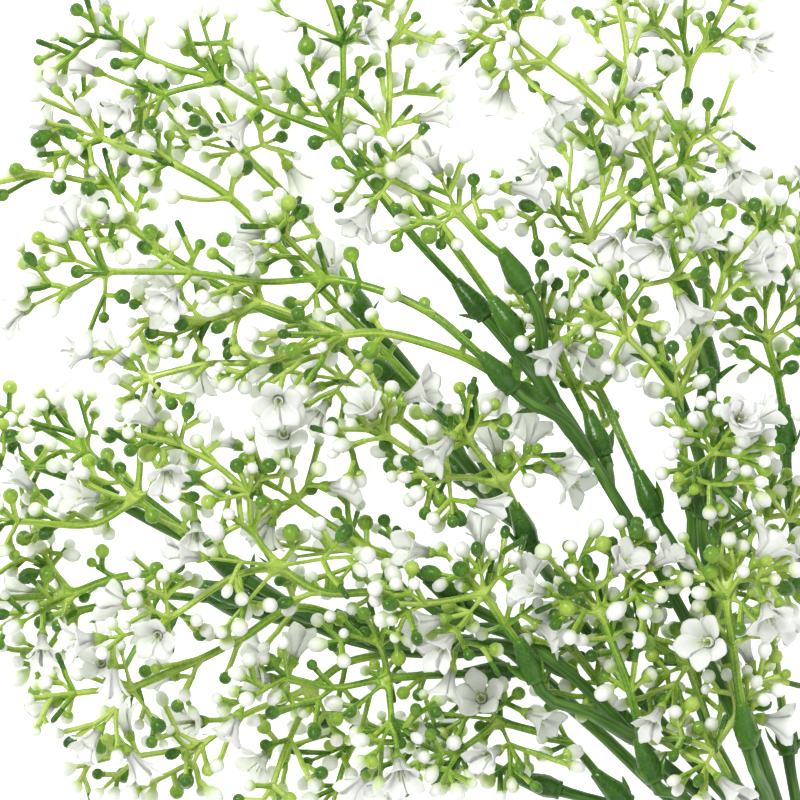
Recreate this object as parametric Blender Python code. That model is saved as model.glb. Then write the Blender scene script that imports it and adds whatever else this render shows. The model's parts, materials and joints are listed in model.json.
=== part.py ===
# Gypsophila stem: one moulded branch of baby's breath, lying down.
# Metres, +Z up. The origin is on the surface, under the main stem. +X runs from the cut end to the tips.
# Routes are in millimetres on the plane that the branch is seen on: u to the right, v down, height up.

import math
import random

import bmesh
import bpy
import numpy as np
from mathutils import Vector

# Driving dimensions, in millimetres
MM = 0.001
STEM_LENGTH = 290.0
STEM_RADIUS = 2.5
STEM_TIP_RADIUS = 1.6
STEM_STATIONS = (1.0, 0.65, 0.3, 0.0, -0.06)
STEM_SIDES = 8
FORK = (202.0, 237.0)
FORK_X = 60.0
SLANT = math.radians(120.0)
LIMB_RADIUS = 1.9
LIMB_TIP_RADIUS = 1.35
LIMB_SIDES = 4
STUB_RADIUS = 1.2
STUB_LENGTH = 4.5
BORE_RADIUS = 1.6
BORE_DEPTH = 5.0
COLLAR_SIDES = 5
COLLAR_PROFILE = ((0.0, 2.35), (3.2, 2.95), (6.6, 2.5), (10.4, 1.45))
COLLAR_LENGTH = COLLAR_PROFILE[-1][0]
COLLAR_RISE = 0.35
STUB_NECK = 2.6
TWIG_RADII = (1.3, 1.0, 0.85, 0.7, 0.62, 0.58)
TWIG_SIDES = 3
THREE_SIDED_FULLNESS = 1.3
STALK_RADIUS = 0.55
BUD_RADIUS = 2.05
BUD_SPREAD = 0.25
BUD_NECK = 0.92
BUD_LOW_RING = 0.34
BUD_HIGH_RING = 0.42
PEG_LENGTH = 4.5
PEG_RADIUS = 0.8
FLOWER_LENGTH = 10.5
FLOWER_RADIUS = 5.0
FLOWER_NOTCH_RADIUS = 3.1
FLOWER_NOTCH_HEIGHT = 0.68
FLOWER_WAIST_RADIUS = 2.0
FLOWER_WAIST_HEIGHT = 0.5
FLOWER_THROAT_HEIGHT = 0.45
FLOWER_BRIM_HEIGHT = 0.85
FLOWER_FOOT_RADIUS = 1.05
FLOWER_SET_BACK = 5.0
FLOWER_STALK = 3.6
STALK_IN_FLOWER = 0.6
PETAL_WALL = 0.62
PETALS = 5
UMBEL_STALKS = 3
UMBEL_STALK_LENGTH = 7.5
UMBEL_HALF_ANGLE = 38.0
UMBEL_WOBBLE = 9.0
UMBEL_BUDS = ("W", "W", "D", "G")
WEB_MARGIN = 0.06
WEB_LIMIT = 6.5
CHILD_WORTH = 0.15
BUDS = ("W", "P", "D", "G", "L")
RESTING_SPRIGS = ("12", "15", "20", "39")

# Room that is kept between the pieces, and how the heights are found
GAP_BETWEEN_SPRIGS = 0.5
GAP_IN_SPRIG = 0.3
FAR_SHARE = 0.6
SLOPE_LIMIT = 0.75
SLOPE_SLACK = 2.0
HEIGHT_JITTER = 0.3
HEIGHT_STEP = 1.3
HEIGHT_STEPS = 13
WIDE_OPEN = 99.0
MERGE_DISTANCE = 0.000001
SHARP_ANGLE = 60.0

# Colours, roughness
DARK_GREEN = (0.075, 0.185, 0.036, 1.0)
SPRIG_GREEN = (0.29, 0.44, 0.075, 1.0)
STEM_ROUGHNESS = 0.42
SPRIG_ROUGHNESS = 0.38

# Dark limbs: points (u, v, height), from where they leave the stem or another limb to a sprig's collar
LIMBS = (
    ((217, 263, 2.5), (187, 223, 8), (173, 211, 11), (160, 205, 13), (150, 202, 14),
     (141, 199.5, 14), "20"),
    ((173, 211, 11), (165, 206.5, 17), (158, 202.5, 20), "21"),
    ((212, 254, 2.5), (188, 216, 13), (173, 202, 20), (166, 193, 22), (160, 186, 24), "23"),
    ((210, 250, 2.5), (190, 214, 24), (176, 203, 35), (168, 198, 42), (163.5, 195, 45), "24"),
    ((188, 216, 13), (166, 199, 12), (150, 184, 14), (138, 174, 17), (128, 169, 19), "19"),
    ((150, 184, 14), (134, 169, 13), (119, 162, 14), "18"),
    ((206, 244, 2.5), (186, 210, 17), (160, 186, 32), (143, 169, 36), (130, 160, 38),
     (122, 157, 38), (117, 156, 38), "16"),
    ((160, 186, 32), (147, 178, 42), (134, 170, 47), "22"),
    ((143, 169, 36), (128, 157, 33), (116.5, 151, 33), "09"),
    ((143, 169, 36), (127, 162, 28), (110, 162, 27), (100, 161.5, 27), (93.5, 160, 27), "17"),
    ((127, 162, 28), (110, 164, 20), (92, 162, 16), (80, 156, 18), (70, 150.5, 23), (61, 145, 28), "11"),
    ((92, 162, 16), (80, 158, 13), (70, 152, 12), (62, 147.5, 12), "12"),
    ((80, 156, 18), (70, 153, 19), (61, 150.5, 20), "14"),
    ((80, 158, 13), (70, 156, 10), (62, 154, 9), "15"),
    ((80, 158, 13), (66, 149, 6), (50, 138, 6), (36, 130.5, 11), (27.5, 125.5, 14), "13"),
    ((204, 240, 2.5), (189, 208, 24), (168, 184, 27), (150, 162, 27), (138, 145, 27), (129, 131, 27),
     (122, 118, 28), (116, 109, 29), "03"),
    ((129, 131, 27), (123, 126, 18), (118.5, 121.5, 14), "08"),
    ((129, 131, 27), (116, 115, 22), (105, 101, 21), (98, 94, 22), "05"),
    ((116, 115, 22), (106, 98, 15), (98, 87, 14), (92, 80, 14), "04"),
    ((138, 145, 27), (135.5, 141, 32), (133, 137, 36), "10"),
    ((202, 237, 2.5), (194, 206, 29), (184, 180, 41), (174, 160, 46), (163, 140, 49),
     (152, 122, 51), (147, 114, 53),
     (141.5, 107.5, 56), (135.5, 101.5, 58), "07"),
    ((147, 114, 53), (139, 104, 62), (128, 97.5, 67), "06"),
    ((147, 114, 53), (139, 101, 49), (131, 91, 46), (121.5, 79.5, 46), "01"),
    ((139, 101, 49), (134, 92, 51), (129.5, 84.5, 52), "02"),
    ((134, 92, 51), (135, 84, 60), (131, 73, 66), "35"),
    ((152, 122, 51), (151.5, 117, 45), (151, 114, 43), "27"),
    ((203, 238.5, 2.5), (197, 208, 22), (189, 184, 31), (180, 160, 35), (172, 143, 37),
     (167, 134, 37), (164, 129, 37), "28"),
    ((172, 143, 37), (173, 134, 42), (172.5, 127, 44), "29"),
    ((180, 160, 35), (177, 143, 48), (175, 129, 54), "34"),
    ((180, 160, 35), (180, 135, 30), (174, 110, 31), (166, 91, 34), "30"),
    ((180, 135, 30), (181, 112, 24), (178.5, 96, 23), "31"),
    ((174, 110, 31), (176, 95, 41), (172.5, 80, 46), "32"),
    ((209, 249, 2.5), (203, 214, 15), (200, 199, 19), (198.5, 190, 20), "37"),
    ((194, 206, 29), (191, 197, 40), (186.5, 186, 50), "36"),
    ((203, 214, 15), (206, 185, 13), (203, 150, 18), (197.5, 113, 24), "33"),
    ((221, 270, 2.5), (216, 215, 9), (218, 186, 11), (217, 165, 15), (214, 150, 20), "38"),
    ((218, 186, 11), (222, 176, 8), (223, 170, 7), "39"),
    ((217, 165, 15), (211, 135, 12), (206, 112, 14), (205, 100, 16), "40"),
    ((206, 244, 2.5), (198, 220, 12), (192, 208, 17), "25"),
    ((205, 242, 2.5), (198, 222, 21), (191, 210, 34), (187, 204, 38), "26"),
)

# Sprigs: number, height of the furthest tips, collar's top (u, v), then the twigs that grow from it.
# A twig is a list: the points of its route, then what it ends in or the twigs that grow from its end.
# W is a white bud, P a pale one, D a dark, G a green and L a lime one, K an empty peg and F a flower.
# A twig that names nothing ends in a small umbel.
SPRIGS = (
    ("01", 62, (111, 67), [(95, 49), (84.5, 34.5),
        [(86, 12), [(80, -4)], [(90, 4), "D"], [(67, 3), "W"]],
        [(66, 27.5), (56, 21.5), [(50, 3), "W"], [(37, 15.5), [(29, 12), "F"], [(38, 6), "W"]],
         [(42, 25), [(22, 18), "F"], [(31, 32), "W"]]],
        [(78, 25), "W"]]),
    ("02", 38, (118, 68), [(108, 54), (97, 34),
        [(97, 12), [(92, 3), "D"], [(97, -8), "W"], [(104, -3)]],
        [(80, 26), (70, 21), "W"], [(90, 23.5), "D"]]),
    ("03", 40, (107, 99), [(97, 89), (85, 77), (70, 62), (58, 50), (43, 41),
        [(37, 32), [(31, 28), "P"], [(38, 22), "W"]],
        [(26, 35), [(12, 20), "F"], [(16, 32), "D"], [(18, 40), "W"]]]),
    ("04", 14, (86, 69), [(79, 58), (70, 47), (60, 37),
        [(41, 32.5), "W"], [(50, 29), "W"], [(57, 24), "W"], [(70, 33), "D"]]),
    ("05", 46, (86, 87.5), [(75, 81), (65, 77), (47, 67), (33, 57),
        [(29, 47), [(17, 38.5), (13, 33), "F"], [(12, 44), (-4, 47)], [(22, 39), "D"]],
        [(26, 51), "D"], [(18, 57), "W"]]),
    ("06", 78, (119.5, 88.5), [(108, 79), (90, 71.5), (82, 70),
        [(64, 71), (49, 69), (29, 69), [(24, 54), "W"], [(13, 63), "W"], [(6, 79), "F"], [(28, 80), "D"]],
        [(72, 60), [(73, 52), "L"], [(66, 55), "W"]],
        [(75, 79), "D"]]),
    ("07", 64, (125.5, 95), [(115, 89), (96, 83.5), (85, 84),
        [(66, 76), [(52, 81), [(38, 77), "W"], [(37, 87), "W"], [(43, 71), "F"]], [(55, 69), "W"]],
        [(65, 91), (53, 91), (38, 94.5), [(30, 89), "F"], [(31, 101), "W"], [(44, 101), "D"]],
        [(78, 94), "D"]]),
    ("08", 48, (110.5, 114), [(100, 105), (86, 95),
        [(65, 92), "W"], [(80, 84), "G"], [(80, 103), "F"], [(92, 88), "L"]]),
    ("09", 62, (108.5, 146), [(101, 141), (92, 137),
        [(73, 139), "W"], [(74, 125), [(71, 106), "F"], [(66, 119), "D"], [(80, 117), "W"]],
        [(84, 146), "G"]]),
    ("10", 70, (129.5, 128.5), [(126, 121),
        [(112, 119), [(97, 109), [(92, 102), "F"], [(86, 111), "W"]], [(104, 123), "W"],
         [(113, 130), "D"]],
        [(117, 110), [(114, 102), "W"], [(121, 102), "W"]],
        [(134, 112), "G"]]),
    ("11", 46, (52, 139), [(45, 133), (34, 125),
        [(35, 112), [(30, 104), "W"], [(38, 104), "W"]],
        [(26, 116), "D"], [(44, 118), "F"], [(24, 131), (5, 130)], [(22, 124), "F"]]),
    ("12", 8, (55.5, 141.5), [(34, 124), (20, 113),
        [(0, 103), (-12, 98)], [(22, 103), "W"], [(12, 101), "F"], [(8, 113), "D"]]),
    ("13", 30, (20, 121), [(8, 117), (0, 115), [(-14, 112)], [(0, 106), "L"], [(-4, 122), "W"]]),
    ("14", 30, (51.5, 147.5), [(38, 144), (28, 145), (17, 149),
        [(-4, 150)], [(12, 142), [(12, 135), "W"], [(-1, 138), "W"]], [(3, 157), "W"], [(14, 157), "D"]]),
    ("15", 8, (53, 151), [(38, 150), (17, 154),
        [(9, 165), [(2, 161), "W"], [(3, 171), "W"]], [(4, 152), "D"], [(17, 165), "D"]]),
    ("16", 68, (108, 151.5), [(95, 148), (80, 147.5), (70, 141),
        [(64, 133), (63, 123), [(55, 116), (46, 111), [(38, 104), "F"], [(38, 113), "L"],
         [(48, 103), "D"]],
         [(68, 116), "D"], [(53, 125), "L"]],
        [(60, 143), (43, 154), [(42, 143), "W"], [(32, 158), (22, 159), "F"], [(35, 149), "W"]],
        [(56, 157), "W"], [(48, 138), "F"], [(81, 139), (92, 138), "W"]]),
    ("17", 46, (84.5, 154.5), [(74, 152), (60, 160), (50, 165), (33, 172),
        [(30, 161), "W"], [(19, 173), [(11, 177), "F"], [(13, 168), "W"]], [(23, 185), "F"],
         [(40, 181), "D"]]),
    ("18", 28, (108, 163), [(100, 164.5), (86, 167), (78, 173),
        [(60, 180), (50, 187), [(38, 181), "W"], [(34, 190), [(22, 190), "W"], [(24, 199), "W"]],
         [(46, 196), "D"]],
        [(66, 170), "W"], [(84, 186), "W"], [(72, 186), (68, 197)]]),
    ("19", 60, (116.5, 169.5), [(106, 169.5), (97, 170),
        [(95, 161), [(91, 153), "G"], [(86, 158), "W"]],
        [(83, 172), (72, 169), [(71, 160), "W"], [(62, 174), "W"]],
        [(98, 180), [(100, 192), "F"], [(93, 190), "L"]], [(88, 178), "D"]]),
    ("20", 8, (131, 196.5), [(115, 190), (103, 188),
        [(88, 188), [(74, 184), "W"], [(76, 193), "D"], [(84, 199)]], [(96, 199), "F"],
         [(108, 180), "W"]]),
    ("21", 46, (150.5, 195.5), [(143, 187), (125, 181),
        [(109, 178), "D"], [(119, 173), "F"], [(115, 188), [(109, 197), "W"], [(106, 189), "W"]],
        [(130, 192), "D"]]),
    ("22", 70, (130, 161), [(126, 156), (121, 148),
        [(119, 137), "D"], [(106, 150), [(98, 154), "W"], [(99, 145), "W"]], [(111, 160), "F"],
        [(128, 139), "W"]]),
    ("23", 44, (154, 177), [(150, 171), (143, 162),
        [(139, 155), "F"], [(147, 153), "W"], [(131, 160), "W"], [(134, 168), "G"]]),
    ("24", 64, (159.5, 184.5), [(157, 172), (152, 159), (150, 153),
        [(146, 140), "D"], [(152, 136), "D"], [(158, 144), (165, 138.5), "F"], [(139, 142), "G"],
         [(141, 151), "L"]]),
    ("25", 46, (185, 197), [(179, 185), (175, 174), (172, 166),
        [(163, 160), [(163, 148), "W"], [(154, 160), "W"], [(157, 153), "D"]],
        [(169, 157), "G"], [(162, 170), "W"], [(163, 179), "F"]]),
    ("26", 58, (182, 194.5), [(178, 187),
        [(170, 184), [(160, 179), "L"], [(168, 177), "W"]], [(184, 178), [(188, 170), "W"],
         [(181, 168), "W"]],
        [(174, 194), "D"]]),
    ("27", 42, (147.5, 104.5), [(144, 98), (138, 84),
        [(135, 72), "D"], [(129, 76), "W"], [(146, 74), "W"], [(145, 88), "F"]]),
    ("28", 28, (160, 119), [(150, 97), (143, 87),
        [(142, 74), "D"], [(133, 88), "W"], [(150, 80), "W"], [(129, 97), "G"]]),
    ("29", 62, (170.7, 116.5), [(170, 108), (169, 99),
        [(155.5, 84), [(140, 81), "K"], [(148, 76), "D"], [(155, 71), "D"], [(162, 77), "W"]],
        [(167, 87), "D"],
        [(178, 76), (180, 68), [(171, 56), [(168, 48), "D"], [(162, 56), "W"]], [(189, 57),
         [(193, 50), "W"], [(182, 49), "F"]]]]),
    ("30", 52, (161, 82), [(152, 69), (147, 60),
        [(142, 50), (143, 34), "W"], [(157, 49), (170, 41), [(179, 37), "F"], [(166, 33), "W"]],
        [(154, 37), "F"], [(137, 56), "W"]]),
    ("31", 34, (177.8, 85.5), [(177, 66), (175, 52), (171, 35),
        [(164, 22), [(161, 13), "D"], [(155, 19), "D"]],
        [(173, 16), [(164, 6), [(150, 3), "W"], [(157, -3), "W"]], [(182, 0)], [(179, 8), "D"]],
         [(180, 30), "D"]]),
    ("32", 62, (170, 70), [(166, 57), (161, 40), (153, 30),
        [(156, 18), (154, 2)], [(136, 17), (128, 11), [(118, 13), "K"], [(123, 3), "K"],
         [(132, 0), "W"], [(125, 26), "F"]],
        [(145, 31), "W"]]),
    ("33", 44, (197, 102.5), [(195, 94), (192, 85),
        [(191, 64), "F"], [(184, 80), "D"], [(200, 80), "D"], [(200, 70), "W"]]),
    ("34", 76, (175.5, 119.5), [(177, 113),
        [(189, 115), "W"], [(184, 103), "F"], [(168, 119), "L"], [(172, 105), "W"]]),
    ("35", 78, (125.5, 64.5), [(114, 54),
        [(98, 46), [(90, 42), "D"], [(99, 36), "W"], [(91, 56), "F"]], [(108, 42), "F"],
         [(107, 60), "G"], [(122, 48), "W"]]),
    ("36", 64, (184.5, 174.5), [(182, 160), (180, 148),
        [(171, 140), "W"], [(190, 137), "F"], [(177, 134), "D"], [(184, 136), "W"], [(188, 152), "G"]]),
    ("37", 50, (197, 177.5), [(194, 160), (191, 150), (191, 140),
        [(181, 130), "F"], [(199, 146), "D"], [(197, 130), (199, 120), "W"], [(189, 126), "W"]]),
    ("38", 46, (215, 138.5), [(213, 125), (211, 112),
        [(204, 98), "W"], [(213, 97), "F"], [(221, 103)], [(219, 114), "D"]]),
    ("39", 8, (226.5, 160), [(231, 146), (234, 134),
        [(227, 122), "W"], [(240, 120)], [(244, 132), "D"], [(233, 118), "F"]]),
    ("40", 30, (204.5, 89), [(203, 74), (200, 60),
        [(194, 47), "W"], [(203, 45), "F"], [(208, 55), "D"], [(192, 59), "W"]]),
)


def clear_scene():
    for old in list(bpy.data.objects):
        bpy.data.objects.remove(old, do_unlink=True)


def place(u, v, height):
    """The point of the branch seen at u, v, in millimetres in the part's own frame."""
    right = u - FORK[0]
    up = FORK[1] - v
    return Vector((FORK_X + math.cos(SLANT) * right + math.sin(SLANT) * up,
                   math.cos(SLANT) * up - math.sin(SLANT) * right, height))


def across(axis):
    """A unit vector square to the axis, the same for each use of one axis."""
    side = axis.cross(Vector((0.0, 0.0, 1.0)))
    if side.length < 0.2:
        side = axis.cross(Vector((1.0, 0.0, 0.0)))
    return side.normalized()


class Body:
    """Vertices and faces of one closed body under construction."""

    def __init__(self):
        self.verts = []
        self.faces = []

    def ring(self, centre, axis, side, radius, sides, turn=0.0):
        """Adds a ring of vertices, counter-clockwise as seen against the axis. Gives their numbers."""
        other = axis.cross(side)
        first = len(self.verts)
        for k in range(sides):
            angle = 2.0 * math.pi * k / sides + turn
            self.verts.append(centre + radius * (math.cos(angle) * side + math.sin(angle) * other))
        return list(range(first, first + sides))

    def band(self, low, high):
        """Joins two rings of as many vertices by triangles that face outwards."""
        count = len(low)
        for k in range(count):
            n = (k + 1) % count
            self.faces.append((low[k], low[n], high[n]))
            self.faces.append((low[k], high[n], high[k]))

    def twisted_band(self, low, high):
        """Joins two rings where the second is turned half a step on."""
        count = len(low)
        for k in range(count):
            n = (k + 1) % count
            self.faces.append((low[k], low[n], high[k]))
            self.faces.append((low[n], high[n], high[k]))

    def fan(self, ring, tip):
        for k in range(len(ring)):
            self.faces.append((ring[k], ring[(k + 1) % len(ring)], tip))

    def point(self, place_of):
        self.verts.append(place_of)
        return len(self.verts) - 1

    def cap(self, ring, outward=True):
        """Closes a ring. outward is True where the ring's own axis points out of the body."""
        for k in range(1, len(ring) - 1):
            face = (ring[0], ring[k], ring[k + 1])
            self.faces.append(face if outward else face[::-1])

    def mesh(self, name):
        made = bpy.data.meshes.new(name)
        made.from_pydata([v * MM for v in self.verts], [], self.faces)
        made.validate()
        return made


def tube(body, points, radii, sides, last_side=None):
    """A capped tube along the points. last_side fixes how its last ring is turned."""
    axes = []
    for k in range(len(points)):
        before = points[k] - points[max(k - 1, 0)]
        after = points[min(k + 1, len(points) - 1)] - points[k]
        axes.append((before.normalized() + after.normalized()).normalized())
    side = last_side or across(axes[-1])
    rings = []
    for k in reversed(range(len(points))):
        side = (side - side.dot(axes[k]) * axes[k]).normalized()
        rings.insert(0, (points[k], axes[k], side, radii[k]))
    numbers = [body.ring(p, a, s, r, sides) for p, a, s, r in rings]
    for low, high in zip(numbers, numbers[1:]):
        body.band(low, high)
    body.cap(numbers[0], outward=False)
    body.cap(numbers[-1])


def segment_gaps(a, b, starts, ends):
    """Distances between the segment a-b and each of many others, as numpy arrays of points."""
    d1 = b - a
    d2 = ends - starts
    r = a - starts
    aa = max(float(d1 @ d1), 1e-9)
    ee = np.maximum(np.einsum("ij,ij->i", d2, d2), 1e-9)
    f = np.einsum("ij,ij->i", d2, r)
    c = r @ d1
    bb = d2 @ d1
    denom = aa * ee - bb * bb
    s = np.where(denom > 1e-9, np.clip((bb * f - c * ee) / np.maximum(denom, 1e-9), 0.0, 1.0), 0.0)
    t = np.clip((bb * s + f) / ee, 0.0, 1.0)
    s = np.clip((bb * t - c) / aa, 0.0, 1.0)
    t = np.clip((bb * s + f) / ee, 0.0, 1.0)
    near = (a + s[:, None] * d1) - (starts + t[:, None] * d2)
    return np.sqrt(np.einsum("ij,ij->i", near, near))


class Space:
    """What is already there, as capsules, so that a new twig can be told to keep clear."""

    def __init__(self):
        self.rows = []
        self.owners = []
        self.hubs = []
        self.table = None

    def add(self, a, b, radius, owner, hubs=()):
        self.rows.append((*a, *b, radius))
        self.owners.append(owner)
        self.hubs.append(tuple(hubs))
        self.table = None

    def arrays(self):
        if self.table is None:
            rows = np.array(self.rows)
            self.table = (rows[:, 0:3], rows[:, 3:6], rows[:, 6], np.array(self.owners))
        return self.table

    def clearance(self, a, b, radius, owner, hub=None):
        """The least free width round a capsule, less what must stay free beside it."""
        starts, ends, radii, owners = self.arrays()
        gaps = segment_gaps(np.array(a), np.array(b), starts, ends) - radii - radius
        own = owners == owner
        gaps = gaps - np.where(own, GAP_IN_SPRIG, GAP_BETWEEN_SPRIGS)
        worst = float(np.min(gaps[~own])) if (~own).any() else WIDE_OPEN
        for k in np.nonzero(own)[0]:
            if hub is not None and hub in self.hubs[k]:
                near, far = starts[k], ends[k]
                if self.hubs[k][0] != hub:
                    near, far = far, near
                half = near + FAR_SHARE * (far - near)
                mine = np.array(a) + FAR_SHARE * (np.array(b) - np.array(a))
                gap = segment_gaps(mine, np.array(b), half[None], far[None])[0]
                worst = min(worst, float(gap - radii[k] - radius - GAP_IN_SPRIG))
            else:
                worst = min(worst, float(gaps[k]))
        return min(worst, min(a[2], b[2]) - radius)


class Twig:
    """A placed twig: its route from its hub, its radii, what it ends in and what grows from its end."""

    def __init__(self, path, level, end, owner, seed):
        self.path = path
        self.level = level
        self.end = end
        self.owner = owner
        self.seed = seed
        self.children = []


def twig_radius(level, end):
    if end in BUDS or end in ("K", "F"):
        return STALK_RADIUS
    return TWIG_RADII[min(level, len(TWIG_RADII) - 1)]


def draw_for(u, v):
    """Random numbers that belong to a place, whatever else is drawn."""
    return random.Random(int(round(u * 10)) * 7919 + int(round(v * 10)) * 104729)


def flower_foot(path):
    """Where a flower's foot lies on the last stretch of its stalk, and the flower's axis."""
    leg = path[-1] - path[-2]
    back = min(FLOWER_SET_BACK, max(leg.length - FLOWER_STALK, 0.0))
    return path[-1] - back * leg.normalized(), leg.normalized()


def end_capsules(path, end, draw):
    """Capsules of the bud, peg or flower at a twig's end: start, end, radius."""
    tip = path[-1]
    axis = (path[-1] - path[-2]).normalized()
    if end == "F":
        foot = flower_foot(path)[0]
        waist = foot + FLOWER_WAIST_HEIGHT * FLOWER_LENGTH * axis
        brim = foot + FLOWER_BRIM_HEIGHT * FLOWER_LENGTH * axis
        return [(foot, waist, FLOWER_WAIST_RADIUS), (brim, brim + 0.5 * axis, FLOWER_RADIUS - 0.3)]
    if end == "K":
        return [(tip, tip + PEG_LENGTH * axis, PEG_RADIUS)]
    radius = BUD_RADIUS + draw.uniform(-BUD_SPREAD, BUD_SPREAD)
    return [(tip - 0.3 * axis, tip + 0.5 * axis, radius)]


def split_entry(entry):
    """A twig's own points, the letter it ends in and the twigs that grow from it."""
    points = [item for item in entry if isinstance(item, tuple)]
    letters = [item for item in entry if isinstance(item, str)]
    grown = [item for item in entry if isinstance(item, list)]
    return points, (letters[0] if letters else ("" if grown else "N")), grown


def reach(entry, start):
    """The longest way, seen flat, from a start to a tip of this twig."""
    points, _, grown = split_entry(entry)
    length = 0.0
    here = start
    for p in points:
        length += math.dist(here, p)
        here = p
    return length + max((reach(g, here) for g in grown), default=0.0)


def try_path(space, start, flat, flat_start, rise, radius, owner, hub, end, draw):
    """The route with this rise, and how clear it is."""
    path = [start]
    total = 0.0
    here = flat_start
    legs = []
    for p in flat:
        total += math.dist(here, p)
        legs.append(total)
        here = p
    for p, way in zip(flat, legs):
        path.append(place(p[0], p[1], start.z + rise * way / max(total, 0.1)))
    clear = WIDE_OPEN
    stop = len(path) - 1
    for k in range(stop):
        a, b = path[k], path[k + 1]
        if k == stop - 1 and end == "F":
            b = flower_foot(path)[0]
        elif k == stop - 1 and end in BUDS:
            b = b - (b - a).normalized() * min(BUD_RADIUS, 0.5 * (b - a).length)
        clear = min(clear, space.clearance(a, b, radius, owner, hub if k == 0 else None))
        if clear < 0.0:
            return path, clear
    if end in BUDS or end in ("K", "F"):
        for a, b, r in end_capsules(path, end, draw):
            clear = min(clear, space.clearance(a, b, r, owner))
    return path, clear


def settle(space, path, radius, owner, hubs, end, draw):
    """Records a placed twig as taken space."""
    last = len(path) - 2
    for k in range(len(path) - 1):
        first = (hubs[0],) if k == 0 else (None,)
        second = (hubs[1],) if k == last else (None,)
        stop = flower_foot(path)[0] if k == last and end == "F" else path[k + 1]
        space.add(path[k], stop, radius, owner, first + second)
    if end in BUDS or end in ("K", "F"):
        for a, b, r in end_capsules(path, end, draw):
            space.add(a, b, r, owner, (None, None))


def place_twig(space, start, flat_start, entry, level, tip_height, owner, hub, new_hub):
    """Finds a height for a twig that keeps it clear of all that is there, or gives None."""
    points, end, grown = split_entry(entry)
    radius = twig_radius(level, end) * THREE_SIDED_FULLNESS
    own_length = 0.0
    here = flat_start
    for p in points:
        own_length += math.dist(here, p)
        here = p
    whole = reach(entry, flat_start)
    wanted = (tip_height - start.z) * own_length / max(whole, 1.0)
    draw = draw_for(*points[-1])
    wanted += draw.uniform(-HEIGHT_JITTER, HEIGHT_JITTER) * own_length
    sign = draw.choice((-1.0, 1.0))
    steps = [0.0]
    for k in range(1, HEIGHT_STEPS + 1):
        steps += [sign * HEIGHT_STEP * k, -sign * HEIGHT_STEP * k]
    seed = draw.random()
    for step in steps:
        rise = wanted + step
        if abs(rise) > SLOPE_LIMIT * own_length + SLOPE_SLACK:
            continue
        draw = random.Random(seed)
        path, clear = try_path(space, start, points, flat_start, rise, radius, owner, hub, end, draw)
        if clear >= 0.0:
            settle(space, path, radius, owner, (hub, new_hub), end, random.Random(seed))
            return Twig(path, level, end, owner, seed), grown
    return None


def limb_points(row):
    """A limb's points in space, the number of the sprig at its end, and that sprig's axis."""
    number = row[-1]
    points = [place(*p) for p in row[:-1]]
    sprig = next(s for s in SPRIGS if s[0] == number)
    rim = points[-1]
    rise = COLLAR_RISE * (rim.z - points[-2].z)
    top = place(sprig[2][0], sprig[2][1], rim.z + rise)
    axis = (top - rim).normalized()
    return points, number, axis


def place_sprigs():
    """Places every twig, level by level over the whole branch. Gives the collars and stems by number."""
    space = Space()
    collars = {}
    for row in LIMBS:
        points, number, axis = limb_points(row)
        collars[number] = (points[-1], axis)
        for a, b in zip(points, points[1:]):
            space.add(a, b, 0.95 * LIMB_RADIUS, "limbs", (None, None))
    middle = COLLAR_PROFILE[2][0]
    waiting = []
    stems = {}
    for number, tip_height, _, entry in SPRIGS:
        rim, axis = collars[number]
        start = rim + COLLAR_LENGTH * axis
        hub = ("top", number)
        bulge = COLLAR_PROFILE[1][1]
        space.add(rim + STUB_NECK * axis, rim + middle * axis, bulge, number, (None, hub))
        space.add(rim + middle * axis, start, 0.6 * bulge, number, (None, hub))
        waiting.append((number, start, tip_height, entry, 0, hub, None))
    lost = []
    count = 0
    while waiting:
        following = []
        for number, start, tip_height, entry, level, hub, parent in waiting:
            count += 1
            made = place_twig(space, start, flat_of(start), entry, level, tip_height, number, hub, count)
            if made is None:
                lost.append((number, level, entry))
                continue
            twig, grown = made
            if parent is None:
                stems[number] = twig
            else:
                parent.children.append(twig)
            for child in grown:
                following.append((number, twig.path[-1], tip_height, child, level + 1, count, twig))
            if twig.end == "N":
                for child in umbel(twig, UMBEL_STALKS):
                    following.append((number, twig.path[-1], tip_height, child, level + 1, count, twig))
        waiting = following
    return collars, stems, lost


def flat_of(point):
    """Where a point in space is seen: u, v."""
    x = point.x - FORK_X
    right = math.cos(SLANT) * x - math.sin(SLANT) * point.y
    up = math.sin(SLANT) * x + math.cos(SLANT) * point.y
    return FORK[0] + right, FORK[1] - up


def umbel(twig, stalks):
    """Short stalks with buds that fan out from a twig's end."""
    u0, v0 = flat_of(twig.path[-2])
    u1, v1 = flat_of(twig.path[-1])
    draw = draw_for(u1, v1)
    heading = math.atan2(v1 - v0, u1 - u0)
    grown = []
    for k in range(stalks):
        part = 2.0 * (k + 0.5) / stalks - 1.0
        angle = heading + math.radians(UMBEL_HALF_ANGLE * part + draw.uniform(-UMBEL_WOBBLE, UMBEL_WOBBLE))
        length = UMBEL_STALK_LENGTH * draw.uniform(0.8, 1.2)
        letter = draw.choice(UMBEL_BUDS)
        grown.append([(u1 + length * math.cos(angle), v1 + length * math.sin(angle)), letter])
    return grown


def hub_offsets(directions, radii):
    """How far from a hub each tube starts, so that each tube's end lies outside all the others' ends."""
    offsets = [0.5 * r for r in radii]
    for _ in range(80):
        grown = 0.0
        for i, direction in enumerate(directions):
            for j, other in enumerate(directions):
                if i == j:
                    continue
                angle = direction.angle(other)
                wanted = offsets[j] * math.cos(angle) + radii[j] * math.sin(angle) + WEB_MARGIN
                if wanted > offsets[i]:
                    grown = max(grown, wanted - offsets[i])
                    offsets[i] = wanted
        if grown < 0.001:
            break
    return offsets


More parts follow.
